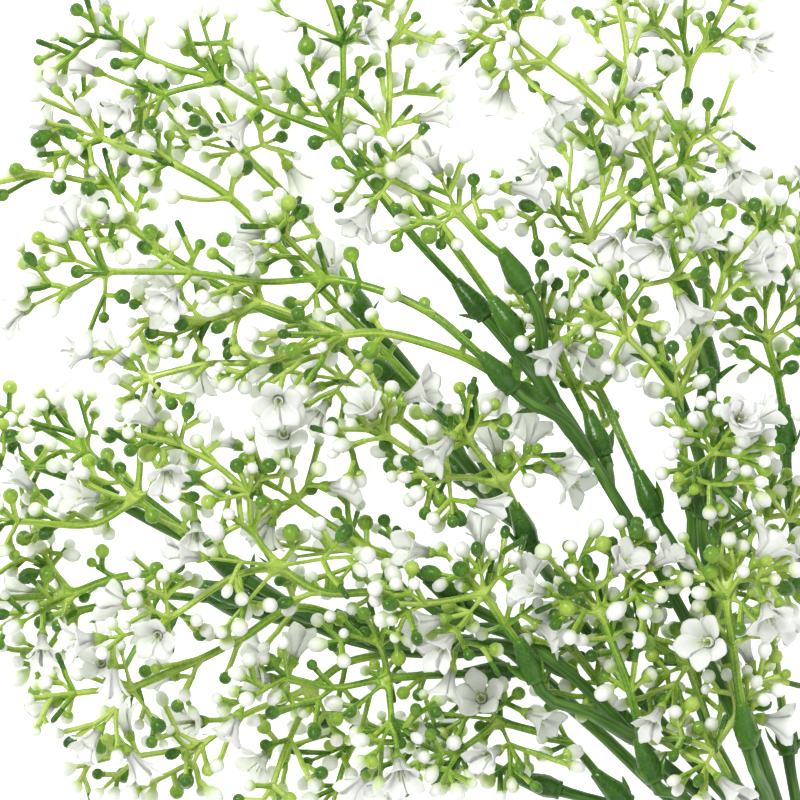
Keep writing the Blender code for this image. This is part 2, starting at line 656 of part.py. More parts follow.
def hull_faces(points):
    """Triangles of the convex hull of some points, as triples of their numbers that face outwards."""
    work = bmesh.new()
    made = [work.verts.new(p) for p in points]
    work.verts.index_update()
    number = {v: k for k, v in enumerate(made)}
    bmesh.ops.convex_hull(work, input=made)
    centre = sum(points, Vector()) / len(points)
    found = []
    for face in work.faces:
        corners = [number.get(v) for v in face.verts]
        if None in corners:
            found = None
            break
        normal = (points[corners[1]] - points[corners[0]]).cross(points[corners[2]] - points[corners[0]])
        if normal.dot(points[corners[0]] - centre) < 0.0:
            corners.reverse()
        found.append(tuple(corners))
    work.free()
    return found


def join_hub(body, rings):
    """Closes the space between the tubes' end rings by their hull. Gives False where a ring isn't on it."""
    numbers = [n for ring in rings for n in ring]
    points = [body.verts[n] for n in numbers]
    faces = hull_faces(points)
    if faces is None:
        return False
    owner = {}
    for k, ring in enumerate(rings):
        for n in ring:
            owner[n] = k
    kept = []
    closed = [0] * len(rings)
    used = set()
    for face in faces:
        named = tuple(numbers[c] for c in face)
        owners = {owner[n] for n in named}
        used.update(named)
        if len(owners) == 1:
            closed[owners.pop()] += 1
        else:
            kept.append(named)
    if used != set(numbers) or any(closed[k] != len(ring) - 2 for k, ring in enumerate(rings)):
        return False
    body.faces.extend(kept)
    return True


def grow(body, twig, ring, side, sides, flowers, faults):
    """Adds a twig from its first ring to its end, then what grows from it."""
    radius = twig_radius(twig.level, twig.end)
    width = radius * (THREE_SIDED_FULLNESS if sides == 3 else 1.0)
    points = twig.path
    for k in range(1, len(points) - 1):
        before = (points[k] - points[k - 1]).normalized()
        after = (points[k + 1] - points[k]).normalized()
        bend = (before + after).normalized()
        side = (side - side.dot(bend) * bend).normalized()
        following = body.ring(points[k], bend, side, width, sides)
        body.band(ring, following)
        ring = following
    axis = (points[-1] - points[-2]).normalized()
    side = (side - side.dot(axis) * axis).normalized()
    if twig.end in BUDS:
        radius = end_capsules(points, twig.end, random.Random(twig.seed))[0][2]
        bud(body, points[-1], axis, side, ring, width, radius)
        return
    if twig.end == "F":
        foot = flower_foot(points)[0]
        last = body.ring(foot + STALK_IN_FLOWER * axis, axis, side, width, sides)
        body.band(ring, last)
        body.cap(last)
        flowers.append((foot, axis))
        return
    if twig.end == "K":
        last = body.ring(points[-1] + PEG_LENGTH * axis, axis, side, width * 1.15, sides)
        body.band(ring, last)
        body.cap(last)
        return
    if not twig.children:
        last = body.ring(points[-1], axis, side, width, sides)
        body.band(ring, last)
        body.cap(last)
        return
    close_hub(body, twig, ring, axis, side, width, sides, flowers, faults)


def twig_room(twig):
    """How much of a twig's first stretch its hub may take."""
    length = (twig.path[1] - twig.path[0]).length
    if len(twig.path) > 2:
        return 0.8 * length
    if twig.end in BUDS:
        return length - BUD_RADIUS - BUD_SPREAD - 0.4
    if twig.end == "F":
        return (flower_foot(twig.path)[0] - twig.path[0]).length - 0.4
    return 0.55 * length


def most_crowded(children, headings, axis):
    """Which child leaves a hub closest to another child or to the incoming twig. Bare stalks come first."""
    marks = []
    for k, child in enumerate(children):
        gaps = [headings[k].angle(heading) for n, heading in enumerate(headings) if n != k]
        mark = min(gaps, default=math.pi) + min(axis.angle(-headings[k]), 1.0)
        marks.append(mark + CHILD_WORTH * len(child.children))
    return marks.index(min(marks))


def close_hub(body, twig, ring, axis, side, width, sides, flowers, faults):
    """Joins a twig to its children by a webbed hub, leaving a child out where the web can't be closed."""
    hub = twig.path[-1]
    children = list(twig.children)
    while children:
        headings = [(c.path[1] - c.path[0]).normalized() for c in children]
        directions = [-axis] + headings
        radii = [width]
        radii += [THREE_SIDED_FULLNESS * twig_radius(c.level, c.end) for c in children]
        offsets = hub_offsets(directions, radii)
        room = [0.6 * (twig.path[-1] - twig.path[-2]).length] + [twig_room(c) for c in children]
        room = [min(r, WEB_LIMIT) for r in room]
        excess = [offset - free for offset, free in zip(offsets, room)]
        if max(excess) <= 0.0:
            verts, faces = len(body.verts), len(body.faces)
            last = body.ring(hub - offsets[0] * axis, axis, side, width, sides)
            body.band(ring, last)
            rings = [last]
            starts = []
            for heading, offset, radius in zip(headings, offsets[1:], radii[1:]):
                turned = across(heading)
                started = body.ring(hub + offset * heading, heading, turned, radius, TWIG_SIDES)
                rings.append(started)
                starts.append((started, turned))
            if join_hub(body, rings):
                for child, (started, turned) in zip(children, starts):
                    grow(body, child, started, turned, TWIG_SIDES, flowers, faults)
                return
            del body.verts[verts:]
            del body.faces[faces:]
        worst = most_crowded(children, headings, axis)
        faults.append((twig.owner, twig.level, children[worst].end, round(max(excess), 2)))
        children.pop(worst)
    last = body.ring(hub, axis, side, width, sides)
    body.band(ring, last)
    body.cap(last)


def bud(body, centre, axis, side, ring, width, radius):
    """A round bud at the end of a stalk: a neck, two wide rings turned against each other, and a tip."""
    neck = body.ring(centre - BUD_NECK * radius * axis, axis, side, width, TWIG_SIDES)
    low = body.ring(centre - BUD_LOW_RING * radius * axis, axis, side, radius, TWIG_SIDES)
    turn = math.pi / TWIG_SIDES
    high = body.ring(centre + BUD_HIGH_RING * radius * axis, axis, side, radius, TWIG_SIDES, turn)
    body.band(ring, neck)
    body.band(neck, low)
    body.twisted_band(low, high)
    body.fan(high, body.point(centre + radius * axis))


def flower(foot, axis):
    """A trumpet of five petals, open at the top, as one closed body."""
    body = Body()
    side = across(axis)
    other = axis.cross(side)
    low = body.ring(foot, axis, side, FLOWER_FOOT_RADIUS, PETALS)
    middle = foot + FLOWER_WAIST_HEIGHT * FLOWER_LENGTH * axis
    waist = body.ring(middle, axis, side, FLOWER_WAIST_RADIUS, PETALS)
    outer = []
    inner = []
    for k in range(2 * PETALS):
        is_tip = k % 2 == 0
        angle = math.pi * k / PETALS
        away = math.cos(angle) * side + math.sin(angle) * other
        radius = FLOWER_RADIUS if is_tip else FLOWER_NOTCH_RADIUS
        height = FLOWER_LENGTH * (1.0 if is_tip else FLOWER_NOTCH_HEIGHT)
        outer.append(body.point(foot + height * axis + radius * away))
        inner.append(body.point(foot + (height + 0.5 * PETAL_WALL) * axis + (radius - PETAL_WALL) * away))
    throat = body.point(foot + FLOWER_THROAT_HEIGHT * FLOWER_LENGTH * axis)
    body.band(low, waist)
    for k in range(PETALS):
        n = (k + 1) % PETALS
        tip, notch, following = outer[2 * k], outer[2 * k + 1], outer[(2 * k + 2) % (2 * PETALS)]
        body.faces.append((waist[k], notch, tip))
        body.faces.append((waist[k], waist[n], notch))
        body.faces.append((waist[n], following, notch))
    for k in range(2 * PETALS):
        n = (k + 1) % (2 * PETALS)
        body.faces.append((outer[k], outer[n], inner[n]))
        body.faces.append((outer[k], inner[n], inner[k]))
        body.faces.append((inner[k], inner[n], throat))
    body.cap(low, outward=False)
    return body


def collar(body, rim, axis):
    """The sprig's swollen hollow foot, which slides over its limb's end. Gives its last ring."""
    side = across(axis)
    floor = body.ring(rim + BORE_DEPTH * axis, axis, side, BORE_RADIUS, COLLAR_SIDES)
    mouth = body.ring(rim, axis, side, BORE_RADIUS, COLLAR_SIDES)
    body.band(floor, mouth)
    body.cap(floor, outward=False)
    ring = mouth
    for height, radius in COLLAR_PROFILE:
        following = body.ring(rim + height * axis, axis, side, radius, COLLAR_SIDES)
        body.band(ring, following)
        ring = following
    return ring, side


def material(name, colour, roughness):
    made = bpy.data.materials.new(name)
    made.use_nodes = True
    shader = made.node_tree.nodes["Principled BSDF"]
    shader.inputs["Base Color"].default_value = colour
    shader.inputs["Roughness"].default_value = roughness
    shader.inputs["Metallic"].default_value = 0.0
    return made


def object_of(mesh, name, finish=None):
    made = bpy.data.objects.new(name, mesh)
    bpy.context.scene.collection.objects.link(made)
    if finish:
        mesh.materials.append(finish)
    return made


def union(main, others):
    """Joins the others to the main object by one Boolean union on a collection, and removes them."""
    if not others:
        return
    group = bpy.data.collections.new(main.name + "_pieces")
    bpy.context.scene.collection.children.link(group)
    for piece in others:
        bpy.context.scene.collection.objects.unlink(piece)
        group.objects.link(piece)
    joined = main.modifiers.new("union", "BOOLEAN")
    joined.operation = "UNION"
    joined.operand_type = "COLLECTION"
    joined.collection = group
    joined.solver = "EXACT"
    evaluated = main.evaluated_get(bpy.context.evaluated_depsgraph_get())
    result = bpy.data.meshes.new_from_object(evaluated)
    main.modifiers.clear()
    old = main.data
    main.data = result
    bpy.data.meshes.remove(old)
    for piece in others:
        bpy.data.objects.remove(piece, do_unlink=True)
    bpy.data.collections.remove(group)


def finish_mesh(item):
    """Triangulates, recalculates the normals and shades the round sides smooth."""
    work = bmesh.new()
    work.from_mesh(item.data)
    bmesh.ops.remove_doubles(work, verts=work.verts, dist=MERGE_DISTANCE)
    bmesh.ops.triangulate(work, faces=work.faces)
    work.to_mesh(item.data)
    work.free()
    item.data.shade_smooth()
    item.data.set_sharp_from_angle(angle=math.radians(SHARP_ANGLE))


def make_main_stem(finish):
    """The bare stem with its limbs, each of which ends in a stub inside a sprig's collar."""
    body = Body()
    flat = STEM_RADIUS * math.cos(math.pi / STEM_SIDES)
    points = [Vector((FORK_X - STEM_LENGTH * part, 0.0, flat)) for part in STEM_STATIONS]
    radii = [STEM_RADIUS] * (len(points) - 1) + [STEM_TIP_RADIUS]
    turned = Vector((0.0, math.cos(math.pi / STEM_SIDES), math.sin(math.pi / STEM_SIDES)))
    tube(body, points, radii, STEM_SIDES, turned)
    stem = object_of(body.mesh("main_stem"), "main_stem", finish)
    pieces = []
    for row in LIMBS:
        points, number, axis = limb_points(row)
        rim = points[-1]
        way = points[:-1] + [rim - STUB_NECK * axis, rim + STUB_LENGTH * axis]
        count = len(way)
        radii = [LIMB_RADIUS + (LIMB_TIP_RADIUS - LIMB_RADIUS) * k / (count - 2) for k in range(count - 1)]
        radii.append(STUB_RADIUS)
        limb = Body()
        tube(limb, way, radii, LIMB_SIDES, across(axis))
        pieces.append(object_of(limb.mesh("limb_" + number), "limb_" + number))
    union(stem, pieces)
    finish_mesh(stem)
    return stem


def lay_down(body, flowers, rim):
    """Lets a low sprig sag until its lowest bud rests on the surface. Its collar stays where it is."""
    lowest = min(body.verts, key=lambda v: v.z)
    whole = (lowest - rim).length - COLLAR_LENGTH
    drop = lowest.z
    for v in body.verts + [foot for foot, _ in flowers]:
        way = ((v - rim).length - COLLAR_LENGTH) / whole
        v.z -= drop * min(max(way, 0.0), 1.0)


def make_sprig(number, rim, axis, stem_twig, finish, faults):
    body = Body()
    ring, side = collar(body, rim, axis)
    flowers = []
    grow(body, stem_twig, ring, side, COLLAR_SIDES, flowers, faults)
    if number in RESTING_SPRIGS:
        lay_down(body, flowers, rim)
    sprig = object_of(body.mesh("sprig_" + number), "sprig_" + number, finish)
    petals = [object_of(flower(foot, way).mesh("petals"), "petals") for foot, way in flowers]
    union(sprig, petals)
    finish_mesh(sprig)
    return sprig


def main():
    clear_scene()
    dark = material("stem_dark", DARK_GREEN, STEM_ROUGHNESS)
    green = material("sprig_green", SPRIG_GREEN, SPRIG_ROUGHNESS)
    collars, stems, lost = place_sprigs()
    faults = []
    make_main_stem(dark)
    for number in sorted(stems):
        rim, axis = collars[number]
        make_sprig(number, rim, axis, stems[number], green, faults)
    return lost, faults


if __name__ == "__main__":
    main()
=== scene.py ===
# Gypsophila stem, dressed: one moulded branch of baby's breath that lies on a pale table.
# Routes are in millimetres on the plane that the branch is seen on: u to the right, v down, height up.

import json
import math
import random

import bmesh
import bpy
import numpy as np
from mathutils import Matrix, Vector

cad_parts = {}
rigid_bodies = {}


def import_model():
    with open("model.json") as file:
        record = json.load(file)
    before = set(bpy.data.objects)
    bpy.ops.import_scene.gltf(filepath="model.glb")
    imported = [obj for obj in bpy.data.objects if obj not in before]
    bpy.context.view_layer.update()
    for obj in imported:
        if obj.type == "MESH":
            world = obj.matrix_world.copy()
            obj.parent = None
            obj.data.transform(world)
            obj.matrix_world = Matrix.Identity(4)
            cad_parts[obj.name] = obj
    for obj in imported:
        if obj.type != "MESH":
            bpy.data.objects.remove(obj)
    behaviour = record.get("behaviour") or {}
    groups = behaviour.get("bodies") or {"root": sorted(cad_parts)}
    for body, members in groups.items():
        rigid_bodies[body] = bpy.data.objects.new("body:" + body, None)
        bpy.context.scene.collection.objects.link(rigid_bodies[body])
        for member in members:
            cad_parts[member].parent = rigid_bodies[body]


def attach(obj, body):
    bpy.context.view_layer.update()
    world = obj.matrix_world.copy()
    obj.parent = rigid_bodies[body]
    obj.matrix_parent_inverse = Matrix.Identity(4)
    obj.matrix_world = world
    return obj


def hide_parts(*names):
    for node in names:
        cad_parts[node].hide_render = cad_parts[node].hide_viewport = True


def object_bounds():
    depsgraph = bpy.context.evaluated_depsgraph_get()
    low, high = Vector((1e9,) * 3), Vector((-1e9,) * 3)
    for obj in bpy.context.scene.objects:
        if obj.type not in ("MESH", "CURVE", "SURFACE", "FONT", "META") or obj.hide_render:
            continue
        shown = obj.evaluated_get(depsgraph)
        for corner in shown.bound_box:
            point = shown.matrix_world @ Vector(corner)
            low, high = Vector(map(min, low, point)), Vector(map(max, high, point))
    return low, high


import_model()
cadLow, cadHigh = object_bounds()
mm = 0.001


def rgb(red, green, blue):
    # a colour seen on a screen, 0 to 255, as the linear one that shaders take
    channels = []
    for value in (red, green, blue):
        part = value / 255.0
        channels.append(part / 12.92 if part <= 0.04045 else ((part + 0.055) / 1.055) ** 2.4)
    return (*channels, 1.0)


# Where the limbs and the twigs run: the same routes and the same rule as the solids
layout = {
    "fork": (202.0, 237.0), "forkX": 60.0, "slant": math.radians(120.0),
    "limbRadius": 1.9, "limbTipRadius": 1.35, "limbRoom": 0.95, "stubNeck": 2.6,
    "collarLength": 10.4, "collarMiddle": 6.6, "collarBulge": 2.95, "collarRise": 0.35, "collarNeck": 0.6,
    "twigRadii": (1.3, 1.0, 0.85, 0.7, 0.62, 0.58), "fullness": 1.3, "stalkRadius": 0.55,
    "budRadius": 2.05, "budSpread": 0.25, "budSpan": (-0.3, 0.5), "pegLength": 4.5, "pegRadius": 0.8,
    "flowerLength": 10.5, "flowerRadius": 5.0, "waistRadius": 2.0, "waistHeight": 0.5, "brimHeight": 0.85,
    "brimWall": 0.5, "brimShrink": 0.3, "setBack": 5.0, "flowerStalk": 3.6,
    "umbelStalks": 3, "umbelLength": 7.5, "umbelSpread": (0.8, 1.2), "umbelAngle": 38.0, "umbelWobble": 9.0,
    "umbelKinds": "WWDG",
    "gapBetween": 0.5, "gapWithin": 0.3, "nearMargin": 0.5, "farShare": 0.6,
    "slopeLimit": 0.75, "slopeSlack": 2.0, "jitter": 0.3, "heightStep": 1.3, "heightSteps": 13,
    "resting": ("12", "15", "20", "39"),
}
buds = ("W", "P", "D", "G", "L")
endings = (*buds, "K", "F")

# Dark limbs: points (u, v, height), from where they leave the stem or another limb to a sprig's collar
limbRoutes = (
    ((217, 263, 2.5), (187, 223, 8), (173, 211, 11), (160, 205, 13), (150, 202, 14), (141, 199.5, 14),
     "20"),
    ((173, 211, 11), (165, 206.5, 17), (158, 202.5, 20), "21"),
    ((212, 254, 2.5), (188, 216, 13), (173, 202, 20), (166, 193, 22), (160, 186, 24), "23"),
    ((210, 250, 2.5), (190, 214, 24), (176, 203, 35), (168, 198, 42), (163.5, 195, 45), "24"),
    ((188, 216, 13), (166, 199, 12), (150, 184, 14), (138, 174, 17), (128, 169, 19), "19"),
    ((150, 184, 14), (134, 169, 13), (119, 162, 14), "18"),
    ((206, 244, 2.5), (186, 210, 17), (160, 186, 32), (143, 169, 36), (130, 160, 38), (122, 157, 38),
     (117, 156, 38), "16"),
    ((160, 186, 32), (147, 178, 42), (134, 170, 47), "22"),
    ((143, 169, 36), (128, 157, 33), (116.5, 151, 33), "09"),
    ((143, 169, 36), (127, 162, 28), (110, 162, 27), (100, 161.5, 27), (93.5, 160, 27), "17"),
    ((127, 162, 28), (110, 164, 20), (92, 162, 16), (80, 156, 18), (70, 150.5, 23), (61, 145, 28), "11"),
    ((92, 162, 16), (80, 158, 13), (70, 152, 12), (62, 147.5, 12), "12"),
    ((80, 156, 18), (70, 153, 19), (61, 150.5, 20), "14"),
    ((80, 158, 13), (70, 156, 10), (62, 154, 9), "15"),
    ((80, 158, 13), (66, 149, 6), (50, 138, 6), (36, 130.5, 11), (27.5, 125.5, 14), "13"),
    ((204, 240, 2.5), (189, 208, 24), (168, 184, 27), (150, 162, 27), (138, 145, 27), (129, 131, 27),
     (122, 118, 28), (116, 109, 29), "03"),
    ((129, 131, 27), (123, 126, 18), (118.5, 121.5, 14), "08"),
    ((129, 131, 27), (116, 115, 22), (105, 101, 21), (98, 94, 22), "05"),
    ((116, 115, 22), (106, 98, 15), (98, 87, 14), (92, 80, 14), "04"),
    ((138, 145, 27), (135.5, 141, 32), (133, 137, 36), "10"),
    ((202, 237, 2.5), (194, 206, 29), (184, 180, 41), (174, 160, 46), (163, 140, 49), (152, 122, 51),
     (147, 114, 53), (141.5, 107.5, 56), (135.5, 101.5, 58), "07"),
    ((147, 114, 53), (139, 104, 62), (128, 97.5, 67), "06"),
    ((147, 114, 53), (139, 101, 49), (131, 91, 46), (121.5, 79.5, 46), "01"),
    ((139, 101, 49), (134, 92, 51), (129.5, 84.5, 52), "02"),
    ((134, 92, 51), (135, 84, 60), (131, 73, 66), "35"),
    ((152, 122, 51), (151.5, 117, 45), (151, 114, 43), "27"),
    ((203, 238.5, 2.5), (197, 208, 22), (189, 184, 31), (180, 160, 35), (172, 143, 37), (167, 134, 37),
     (164, 129, 37), "28"),
    ((172, 143, 37), (173, 134, 42), (172.5, 127, 44), "29"),
    ((180, 160, 35), (177, 143, 48), (175, 129, 54), "34"),
    ((180, 160, 35), (180, 135, 30), (174, 110, 31), (166, 91, 34), "30"),
    ((180, 135, 30), (181, 112, 24), (178.5, 96, 23), "31"),
    ((174, 110, 31), (176, 95, 41), (172.5, 80, 46), "32"),
    ((209, 249, 2.5), (203, 214, 15), (200, 199, 19), (198.5, 190, 20), "37"),
    ((194, 206, 29), (191, 197, 40), (186.5, 186, 50), "36"),
    ((203, 214, 15), (206, 185, 13), (203, 150, 18), (197.5, 113, 24), "33"),
    ((221, 270, 2.5), (216, 215, 9), (218, 186, 11), (217, 165, 15), (214, 150, 20), "38"),
    ((218, 186, 11), (222, 176, 8), (223, 170, 7), "39"),
    ((217, 165, 15), (211, 135, 12), (206, 112, 14), (205, 100, 16), "40"),
    ((206, 244, 2.5), (198, 220, 12), (192, 208, 17), "25"),
    ((205, 242, 2.5), (198, 222, 21), (191, 210, 34), (187, 204, 38), "26"),
)

# Sprigs: number, height of the furthest tips, collar's top (u, v), then the twigs that grow from it.
# A twig is a list: the points of its route, then what it ends in or the twigs that grow from its end.
# W is a white bud, P a pale one, D a dark, G a green and L a lime one, K an empty peg and F a flower.
# A twig that names nothing ends in a small umbel.
sprigRoutes = (
    ("01", 62, (111, 67), [(95, 49), (84.5, 34.5), [(86, 12), [(80, -4)], [(90, 4), "D"], [(67, 3), "W"]],
     [(66, 27.5), (56, 21.5), [(50, 3), "W"], [(37, 15.5), [(29, 12), "F"], [(38, 6), "W"]], [(42, 25),
     [(22, 18), "F"], [(31, 32), "W"]]], [(78, 25), "W"]]),
    ("02", 38, (118, 68), [(108, 54), (97, 34), [(97, 12), [(92, 3), "D"], [(97, -8), "W"], [(104, -3)]],
     [(80, 26), (70, 21), "W"], [(90, 23.5), "D"]]),
    ("03", 40, (107, 99), [(97, 89), (85, 77), (70, 62), (58, 50), (43, 41), [(37, 32), [(31, 28), "P"],
     [(38, 22), "W"]], [(26, 35), [(12, 20), "F"], [(16, 32), "D"], [(18, 40), "W"]]]),
    ("04", 14, (86, 69), [(79, 58), (70, 47), (60, 37), [(41, 32.5), "W"], [(50, 29), "W"], [(57, 24), "W"],
     [(70, 33), "D"]]),
    ("05", 46, (86, 87.5), [(75, 81), (65, 77), (47, 67), (33, 57), [(29, 47), [(17, 38.5), (13, 33), "F"],
     [(12, 44), (-4, 47)], [(22, 39), "D"]], [(26, 51), "D"], [(18, 57), "W"]]),
    ("06", 78, (119.5, 88.5), [(108, 79), (90, 71.5), (82, 70), [(64, 71), (49, 69), (29, 69), [(24, 54),
     "W"], [(13, 63), "W"], [(6, 79), "F"], [(28, 80), "D"]], [(72, 60), [(73, 52), "L"], [(66, 55), "W"]],
     [(75, 79), "D"]]),
    ("07", 64, (125.5, 95), [(115, 89), (96, 83.5), (85, 84), [(66, 76), [(52, 81), [(38, 77), "W"],
     [(37, 87), "W"], [(43, 71), "F"]], [(55, 69), "W"]], [(65, 91), (53, 91), (38, 94.5), [(30, 89), "F"],
     [(31, 101), "W"], [(44, 101), "D"]], [(78, 94), "D"]]),
    ("08", 48, (110.5, 114), [(100, 105), (86, 95), [(65, 92), "W"], [(80, 84), "G"], [(80, 103), "F"],
     [(92, 88), "L"]]),
    ("09", 62, (108.5, 146), [(101, 141), (92, 137), [(73, 139), "W"], [(74, 125), [(71, 106), "F"],
     [(66, 119), "D"], [(80, 117), "W"]], [(84, 146), "G"]]),
    ("10", 70, (129.5, 128.5), [(126, 121), [(112, 119), [(97, 109), [(92, 102), "F"], [(86, 111), "W"]],
     [(104, 123), "W"], [(113, 130), "D"]], [(117, 110), [(114, 102), "W"], [(121, 102), "W"]], [(134, 112),
     "G"]]),
    ("11", 46, (52, 139), [(45, 133), (34, 125), [(35, 112), [(30, 104), "W"], [(38, 104), "W"]],
     [(26, 116), "D"], [(44, 118), "F"], [(24, 131), (5, 130)], [(22, 124), "F"]]),
    ("12", 8, (55.5, 141.5), [(34, 124), (20, 113), [(0, 103), (-12, 98)], [(22, 103), "W"], [(12, 101),
     "F"], [(8, 113), "D"]]),
    ("13", 30, (20, 121), [(8, 117), (0, 115), [(-14, 112)], [(0, 106), "L"], [(-4, 122), "W"]]),
    ("14", 30, (51.5, 147.5), [(38, 144), (28, 145), (17, 149), [(-4, 150)], [(12, 142), [(12, 135), "W"],
     [(-1, 138), "W"]], [(3, 157), "W"], [(14, 157), "D"]]),
    ("15", 8, (53, 151), [(38, 150), (17, 154), [(9, 165), [(2, 161), "W"], [(3, 171), "W"]], [(4, 152),
     "D"], [(17, 165), "D"]]),
    ("16", 68, (108, 151.5), [(95, 148), (80, 147.5), (70, 141), [(64, 133), (63, 123), [(55, 116),
     (46, 111), [(38, 104), "F"], [(38, 113), "L"], [(48, 103), "D"]], [(68, 116), "D"], [(53, 125), "L"]],
     [(60, 143), (43, 154), [(42, 143), "W"], [(32, 158), (22, 159), "F"], [(35, 149), "W"]], [(56, 157),
     "W"], [(48, 138), "F"], [(81, 139), (92, 138), "W"]]),
    ("17", 46, (84.5, 154.5), [(74, 152), (60, 160), (50, 165), (33, 172), [(30, 161), "W"], [(19, 173),
     [(11, 177), "F"], [(13, 168), "W"]], [(23, 185), "F"], [(40, 181), "D"]]),
    ("18", 28, (108, 163), [(100, 164.5), (86, 167), (78, 173), [(60, 180), (50, 187), [(38, 181), "W"],
     [(34, 190), [(22, 190), "W"], [(24, 199), "W"]], [(46, 196), "D"]], [(66, 170), "W"], [(84, 186), "W"],
     [(72, 186), (68, 197)]]),
    ("19", 60, (116.5, 169.5), [(106, 169.5), (97, 170), [(95, 161), [(91, 153), "G"], [(86, 158), "W"]],
     [(83, 172), (72, 169), [(71, 160), "W"], [(62, 174), "W"]], [(98, 180), [(100, 192), "F"], [(93, 190),
     "L"]], [(88, 178), "D"]]),
    ("20", 8, (131, 196.5), [(115, 190), (103, 188), [(88, 188), [(74, 184), "W"], [(76, 193), "D"],
     [(84, 199)]], [(96, 199), "F"], [(108, 180), "W"]]),
    ("21", 46, (150.5, 195.5), [(143, 187), (125, 181), [(109, 178), "D"], [(119, 173), "F"], [(115, 188),
     [(109, 197), "W"], [(106, 189), "W"]], [(130, 192), "D"]]),
    ("22", 70, (130, 161), [(126, 156), (121, 148), [(119, 137), "D"], [(106, 150), [(98, 154), "W"],
     [(99, 145), "W"]], [(111, 160), "F"], [(128, 139), "W"]]),
    ("23", 44, (154, 177), [(150, 171), (143, 162), [(139, 155), "F"], [(147, 153), "W"], [(131, 160), "W"],
     [(134, 168), "G"]]),
    ("24", 64, (159.5, 184.5), [(157, 172), (152, 159), (150, 153), [(146, 140), "D"], [(152, 136), "D"],
     [(158, 144), (165, 138.5), "F"], [(139, 142), "G"], [(141, 151), "L"]]),
    ("25", 46, (185, 197), [(179, 185), (175, 174), (172, 166), [(163, 160), [(163, 148), "W"], [(154, 160),
     "W"], [(157, 153), "D"]], [(169, 157), "G"], [(162, 170), "W"], [(163, 179), "F"]]),
    ("26", 58, (182, 194.5), [(178, 187), [(170, 184), [(160, 179), "L"], [(168, 177), "W"]], [(184, 178),
     [(188, 170), "W"], [(181, 168), "W"]], [(174, 194), "D"]]),
    ("27", 42, (147.5, 104.5), [(144, 98), (138, 84), [(135, 72), "D"], [(129, 76), "W"], [(146, 74), "W"],
     [(145, 88), "F"]]),
    ("28", 28, (160, 119), [(150, 97), (143, 87), [(142, 74), "D"], [(133, 88), "W"], [(150, 80), "W"],
     [(129, 97), "G"]]),
    ("29", 62, (170.7, 116.5), [(170, 108), (169, 99), [(155.5, 84), [(140, 81), "K"], [(148, 76), "D"],
     [(155, 71), "D"], [(162, 77), "W"]], [(167, 87), "D"], [(178, 76), (180, 68), [(171, 56), [(168, 48),
     "D"], [(162, 56), "W"]], [(189, 57), [(193, 50), "W"], [(182, 49), "F"]]]]),
    ("30", 52, (161, 82), [(152, 69), (147, 60), [(142, 50), (143, 34), "W"], [(157, 49), (170, 41),
     [(179, 37), "F"], [(166, 33), "W"]], [(154, 37), "F"], [(137, 56), "W"]]),
    ("31", 34, (177.8, 85.5), [(177, 66), (175, 52), (171, 35), [(164, 22), [(161, 13), "D"], [(155, 19),
     "D"]], [(173, 16), [(164, 6), [(150, 3), "W"], [(157, -3), "W"]], [(182, 0)], [(179, 8), "D"]],
     [(180, 30), "D"]]),
    ("32", 62, (170, 70), [(166, 57), (161, 40), (153, 30), [(156, 18), (154, 2)], [(136, 17), (128, 11),
     [(118, 13), "K"], [(123, 3), "K"], [(132, 0), "W"], [(125, 26), "F"]], [(145, 31), "W"]]),
    ("33", 44, (197, 102.5), [(195, 94), (192, 85), [(191, 64), "F"], [(184, 80), "D"], [(200, 80), "D"],
     [(200, 70), "W"]]),
    ("34", 76, (175.5, 119.5), [(177, 113), [(189, 115), "W"], [(184, 103), "F"], [(168, 119), "L"],
     [(172, 105), "W"]]),
    ("35", 78, (125.5, 64.5), [(114, 54), [(98, 46), [(90, 42), "D"], [(99, 36), "W"], [(91, 56), "F"]],
     [(108, 42), "F"], [(107, 60), "G"], [(122, 48), "W"]]),
    ("36", 64, (184.5, 174.5), [(182, 160), (180, 148), [(171, 140), "W"], [(190, 137), "F"], [(177, 134),
     "D"], [(184, 136), "W"], [(188, 152), "G"]]),
    ("37", 50, (197, 177.5), [(194, 160), (191, 150), (191, 140), [(181, 130), "F"], [(199, 146), "D"],
     [(197, 130), (199, 120), "W"], [(189, 126), "W"]]),
    ("38", 46, (215, 138.5), [(213, 125), (211, 112), [(204, 98), "W"], [(213, 97), "F"], [(221, 103)],
     [(219, 114), "D"]]),
    ("39", 8, (226.5, 160), [(231, 146), (234, 134), [(227, 122), "W"], [(240, 120)], [(244, 132), "D"],
     [(233, 118), "F"]]),
    ("40", 30, (204.5, 89), [(203, 74), (200, 60), [(194, 47), "W"], [(203, 45), "F"], [(208, 55), "D"],
     [(192, 59), "W"]]),
)

